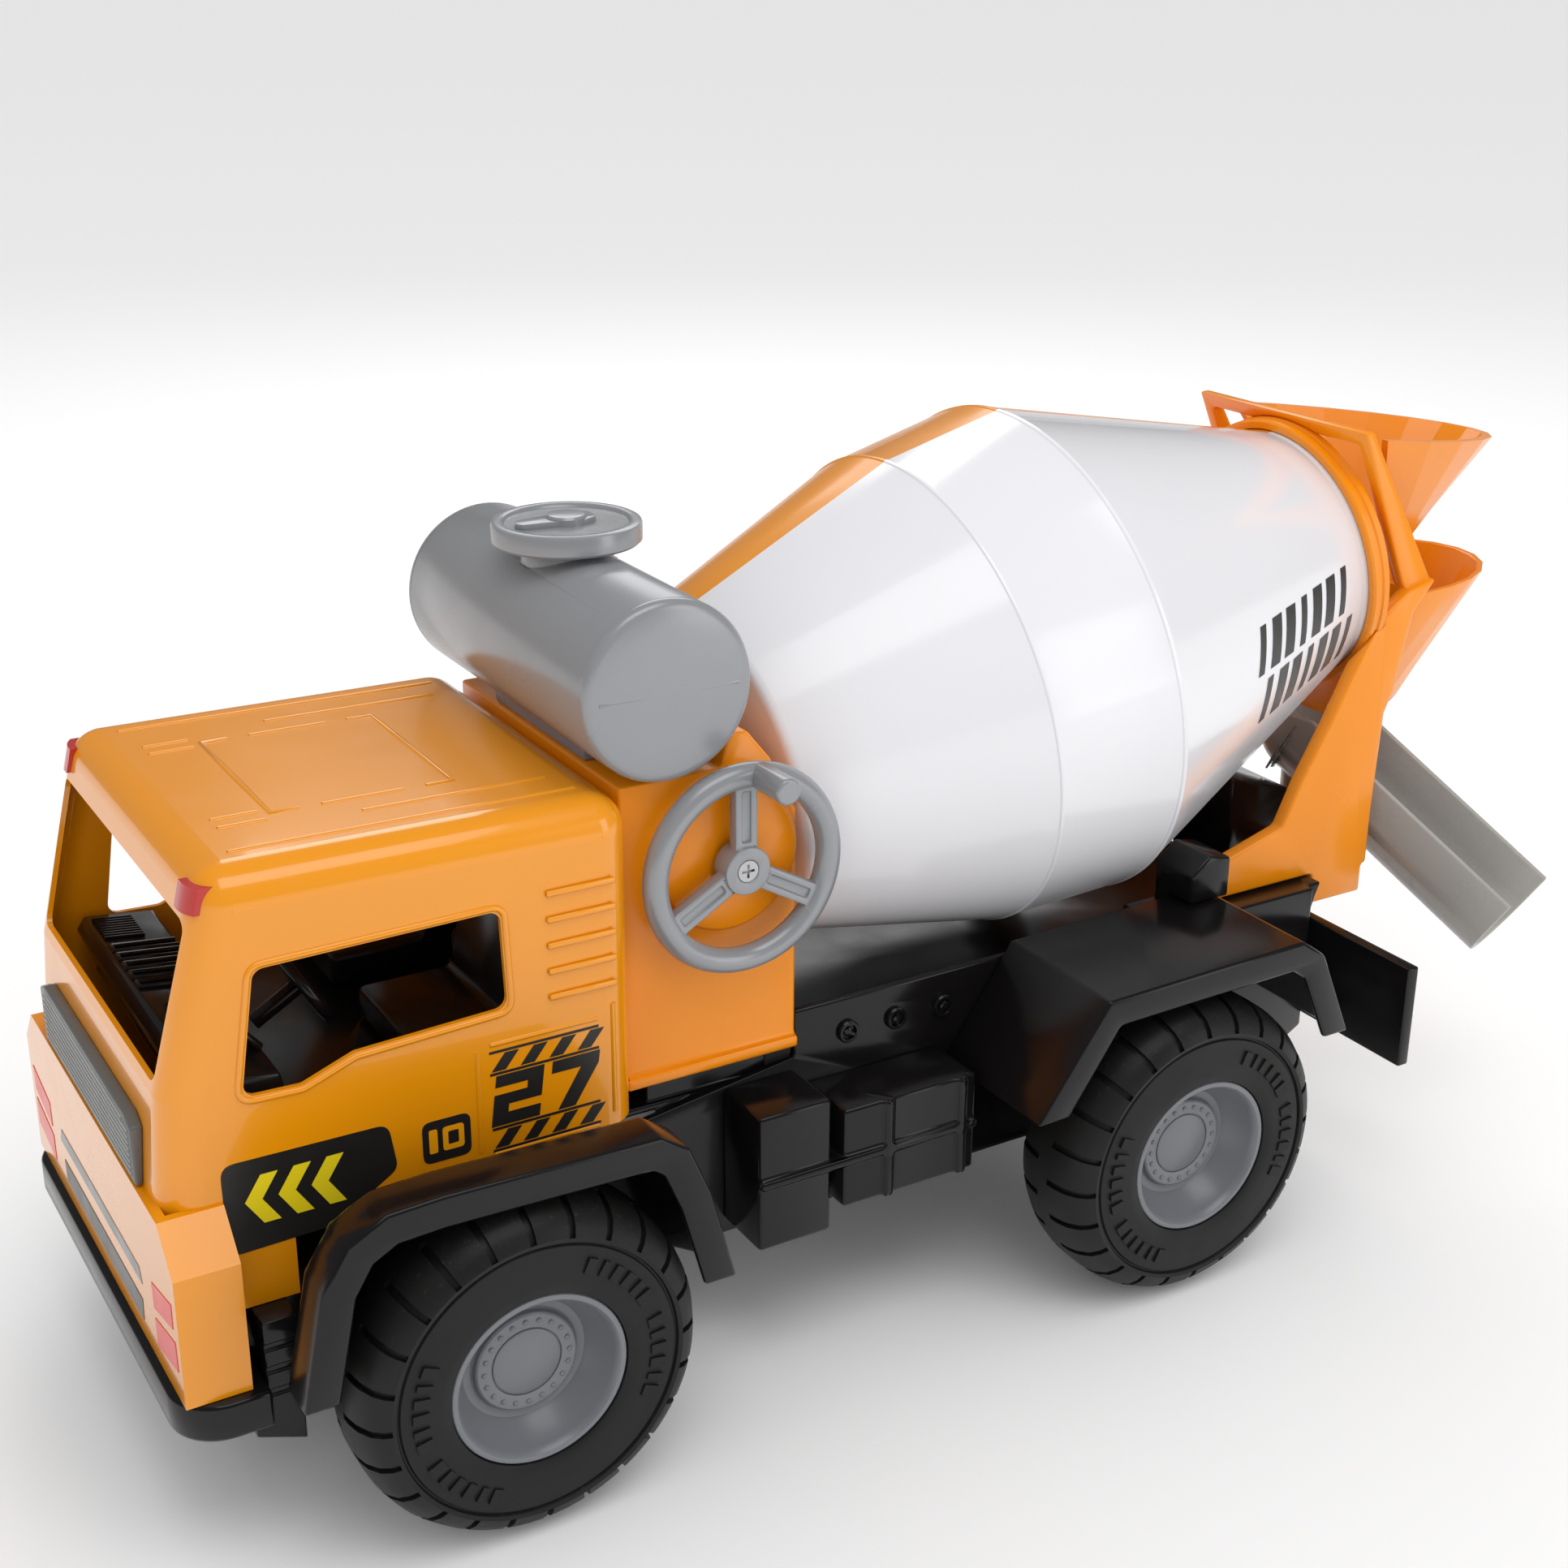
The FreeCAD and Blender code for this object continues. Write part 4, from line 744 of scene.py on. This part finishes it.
# ---------------------------------------------------------------- the water tank
# A silver grey tube with a cap pressed in each end, on a saddle. Its lid is a push
# button with a raised rim, a boss and a paddle.
silver_grey = moulded("silver_grey_moulding", (0.285, 0.292, 0.305), (0.315, 0.322, 0.337), 0.22, 0.06,
                      1500.0, 0.006, metallic=0.25)
tank_low, tank_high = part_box("tank_cap_left")
tank_r = (tank_high.z - tank_low.z) / 2 / MM
tank_x = (tank_low.x + tank_high.x) / 2 / MM
tank_z = (tank_low.z + tank_high.z) / 2 / MM
finish(eased("tank_body", "tank_tube", 0.2, angle=50.0), silver_grey, "truck", ("tank_body",))
finish(eased("tank_saddle", "tank_saddle_block", 0.6), silver_grey, "truck", ("tank_saddle",))
cap_rings = [(0.0, 0.0), (tank_r, 0.0), (tank_r, 0.9), (tank_r - 0.35, 1.7), (tank_r - 1.1, 2.3),
             (tank_r - 2.2, 2.6), (tank_r - 6.0, 3.1), (tank_r - 12.0, 3.5), (0.0, 3.65)]
crease_half = tank_r - 3.6
for side, side_name in ((1, "left"), (-1, "right")):
    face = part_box("tank_cap_" + side_name)[0 if side > 0 else 1].y / MM
    cap = lathe("tank_cap_" + side_name + "_domed", cap_rings, 80, (tank_x * MM, face * MM, tank_z * MM),
                (0, side, 0))
    crease_run = [(tank_x + along, face + side * out, tank_z)
                  for along, out in ((-crease_half, 2.45), (-8, 3.0), (8, 3.0), (crease_half, 2.45))]
    crease = bead("cap_crease", crease_run, 0.55)
    finish(gathered([cap, crease], cap.name), silver_grey, "truck", ("tank_cap_" + side_name,),
           smooth=40.0)
lid_low, lid_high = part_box("tank_lid")
lid_middle = (lid_low + lid_high) / 2
lid_r = (lid_high.x - lid_low.x) / 2 / MM
stem_deep = 5.0
lid_face = (lid_high.z - lid_low.z) / MM - stem_deep - 1.4
lid_rings = [(0.0, -stem_deep), (6.0, -stem_deep), (6.0, 0.0), (lid_r - 0.6, 0.0), (lid_r, 0.6),
             (lid_r, lid_face - 0.9), (lid_r - 0.3, lid_face - 0.3), (lid_r - 0.9, lid_face),
             (lid_r - 2.2, lid_face), (lid_r - 2.7, lid_face - 0.25), (lid_r - 3.1, lid_face - 0.8),
             (0.0, lid_face - 0.8)]
lid = lathe("lid_disc", lid_rings, 72, (lid_middle.x, 0.0, lid_low.z + stem_deep * MM))
boss_rings = [(0.0, 0.0), (4.6, 0.0), (4.6, 1.5), (4.2, 2.0), (3.4, 2.15), (0.0, 2.15)]
boss_foot = lid_low.z / MM + stem_deep + lid_face - 0.85
boss = lathe("lid_boss", boss_rings, 40, (lid_middle.x, 0.0, boss_foot * MM))
paddle_outline = [(-3.0, -4.0), (11.5, -2.2), (12.6, 0.0), (11.5, 2.2), (-3.0, 4.0), (-6.4, 2.4),
                  (-6.4, -2.4)]
paddle = film("lid_paddle", [rounded(paddle_outline, 1.6)], (lid_middle.x / MM, 0.0, boss_foot),
              Vector((1, 0, 0)), Vector((0, 1, 0)), 1.3)
paddle_edge = paddle.modifiers.new("paddle_edge", "BEVEL")
paddle_edge.width = 0.35 * MM
paddle_edge.segments = 2
bpy.ops.object.modifier_apply(modifier="paddle_edge")
finish(gathered([lid, boss, paddle], "tank_lid_button"), silver_grey, "lid", ("tank_lid",))

# ---------------------------------------------------------------- the handwheel
# A grey moulding: a round rim on three channel spokes, a crank peg, and a crosshead
# screw in the middle that holds it on its shaft.
finish(eased("handwheel", "handwheel_moulding", 0.35, angle=40.0), silver_grey, "handwheel",
       ("handwheel",))
finish(eased("crank_peg", "crank_peg_moulding", 0.2, angle=40.0), silver_grey, "handwheel",
       ("crank_peg",))

# ---------------------------------------------------------------- the drum
# Two glossy half shells meet along the top and the bottom, white on the left and
# orange on the right. A fine welt runs round each of the two widest rings.
drum_joint = [joint for joint in frame["joints"] if joint["name"] == "drum_spin"][0]
drum_at = Vector(drum_joint["pos_m"])
drum_axis = Vector(drum_joint["axis"]).normalized()
belt_r, belt_at, mouth_r, mouth_at = 65.1, 113.0, 35.1, 198.9
drum_rings = [(0.0, 20.5), (40.6, 20.5), (41.8, 20.9), (42.5, 21.6), (42.9, 22.7), (61.15, 78.4),
              (61.5, 78.7), (61.6, 79.1), (61.6, 79.6), (61.45, 80.0), (64.8, 112.1), (65.05, 112.4),
              (belt_r, 112.8), (65.05, 113.4), (64.75, 113.8), (35.6, 198.0), (35.2, 198.6),
              (mouth_r, 199.4), (mouth_r, 202.9), (33.1, 202.9), (33.1, mouth_at), (63.1, 112.5),
              (59.5, 79.6), (40.3, 22.5), (0.0, 22.5)]
drum_white = moulded("white_drum_plastic", (0.76, 0.755, 0.785), (0.79, 0.785, 0.815), 0.16, 0.04, 900.0,
                     0.006, coat=0.3)
drum_orange = moulded("orange_drum_plastic", (0.78, 0.275, 0.010), (0.82, 0.295, 0.014), 0.22, 0.05,
                      900.0, 0.006, coat=0.2)
seam_gap = 0.14
for side, side_name, material, slot in ((1, "left", drum_white, "drum_white"),
                                        (-1, "right", drum_orange, "drum_orange")):
    shell = lathe("drum_half_" + side_name, drum_rings, 128, drum_at, drum_axis)
    pick(shell)
    bpy.ops.object.mode_set(mode="EDIT")
    bpy.ops.mesh.select_all(action="SELECT")
    bpy.ops.mesh.bisect(plane_co=(0, side * seam_gap / 2 * MM, 0), plane_no=(0, side, 0), use_fill=True,
                        clear_inner=True)
    bpy.ops.mesh.select_all(action="SELECT")
    bpy.ops.mesh.normals_make_consistent(inside=False)
    bpy.ops.object.mode_set(mode="OBJECT")
    finish(shell, material, "drum", ("drum_shell_" + side_name,), smooth=30.0)
dress("mixing_blades", milky_nylon)

# Two rows of slanted black bars are printed on the white half, near the mouth.
row_start, bar_pitch, bar_wide = 149.0, 6.6, 4.6
bar_slant, print_turn = 0.22, 1.5
cone_fall = (belt_r - mouth_r) / (mouth_at - belt_at)
drum_over = drum_axis.cross(Vector((0, -1, 0))).normalized()
prints = []
for row, (low_arc, high_arc) in enumerate(((-4.4, 8.4), (-18.6, -6.0))):
    for i in range(7):
        s_middle = row_start + 2.0 * row + i * bar_pitch
        r = belt_r - (s_middle - belt_at) * cone_fall
        bpy.ops.object.select_all(action="DESELECT")
        bpy.ops.mesh.primitive_grid_add(x_subdivisions=4, y_subdivisions=8, size=1.0)
        mark = bpy.context.object
        mark.scale = ((bar_wide if i % 3 else bar_wide * 0.6) * MM, (high_arc - low_arc) * MM, 1.0)
        bpy.ops.object.transform_apply(scale=True)
        for vertex in mark.data.vertices:
            vertex.co.x += vertex.co.y * bar_slant
        turn = math.radians(print_turn) + (low_arc + high_arc) / 2 / r
        out = Vector((0, 1, 0)) * math.cos(turn) + drum_over * math.sin(turn)
        over = drum_over * math.cos(turn) - Vector((0, 1, 0)) * math.sin(turn)
        centre = drum_at + drum_axis * s_middle * MM + out * (r + 2.0) * MM
        tilt_out = (out + drum_axis * cone_fall).normalized()
        along = over.cross(tilt_out).normalized()
        mark.matrix_world = Matrix((
            (along.x, over.x, tilt_out.x, centre.x),
            (along.y, over.y, tilt_out.y, centre.y),
            (along.z, over.z, tilt_out.z, centre.z),
            (0.0, 0.0, 0.0, 1.0)))
        bpy.ops.object.transform_apply(location=True, rotation=True, scale=True)
        prints.append(mark)
drum_print = gathered(prints, "drum_print")
lay = drum_print.modifiers.new("laid_on_drum", "SHRINKWRAP")
lay.target = bpy.data.objects["drum_half_left"]
lay.wrap_mode = "ABOVE_SURFACE"
lay.offset = 0.10 * MM
bpy.ops.object.modifier_apply(modifier="laid_on_drum")
ink = drum_print.modifiers.new("ink_thickness", "SOLIDIFY")
ink.thickness = 0.08 * MM
ink.offset = -1.0
bpy.ops.object.modifier_apply(modifier="ink_thickness")
finish(drum_print, black_print, "drum")

# ---------------------------------------------------------------- the collar and the rear frame
# Orange mouldings: a stepped collar round the drum's neck, and two legs joined by a
# leaning head frame.
collar_rings = [(35.45, 200.3), (37.2, 200.3), (37.7, 200.8), (37.7, 202.2), (37.25, 202.6), (37.25, 203.3),
                (37.7, 203.7), (37.7, 205.4), (37.3, 205.9), (31.1, 205.9), (31.1, 204.5), (35.4, 204.5),
                (35.45, 200.3)]
finish(lathe("neck_collar", collar_rings, 96, drum_at, drum_axis), orange_plastic, "truck",
       ("drum_collar",))
for node, width in (("support_frame", 0.8), ("lower_funnel", 0.3)):
    finish(eased(node, node + "_moulding", width), orange_plastic, "truck", (node,))
dress("upper_hopper", orange_plastic)
finish(eased("pedestal", "pedestal_block", 0.8), gloss_black, "truck", ("pedestal",))

# ---------------------------------------------------------------- the chute
# A grey trough moulded in one piece with its stem, turning on a pin in the pedestal.
chute_grey = moulded("chute_grey", (0.345, 0.335, 0.315), (0.390, 0.378, 0.355), 0.26, 0.06, 1500.0,
                     0.006)
finish(eased("chute", "chute_trough", 0.5), chute_grey, "chute", ("chute",))
dress("chute_pin", milky_nylon)
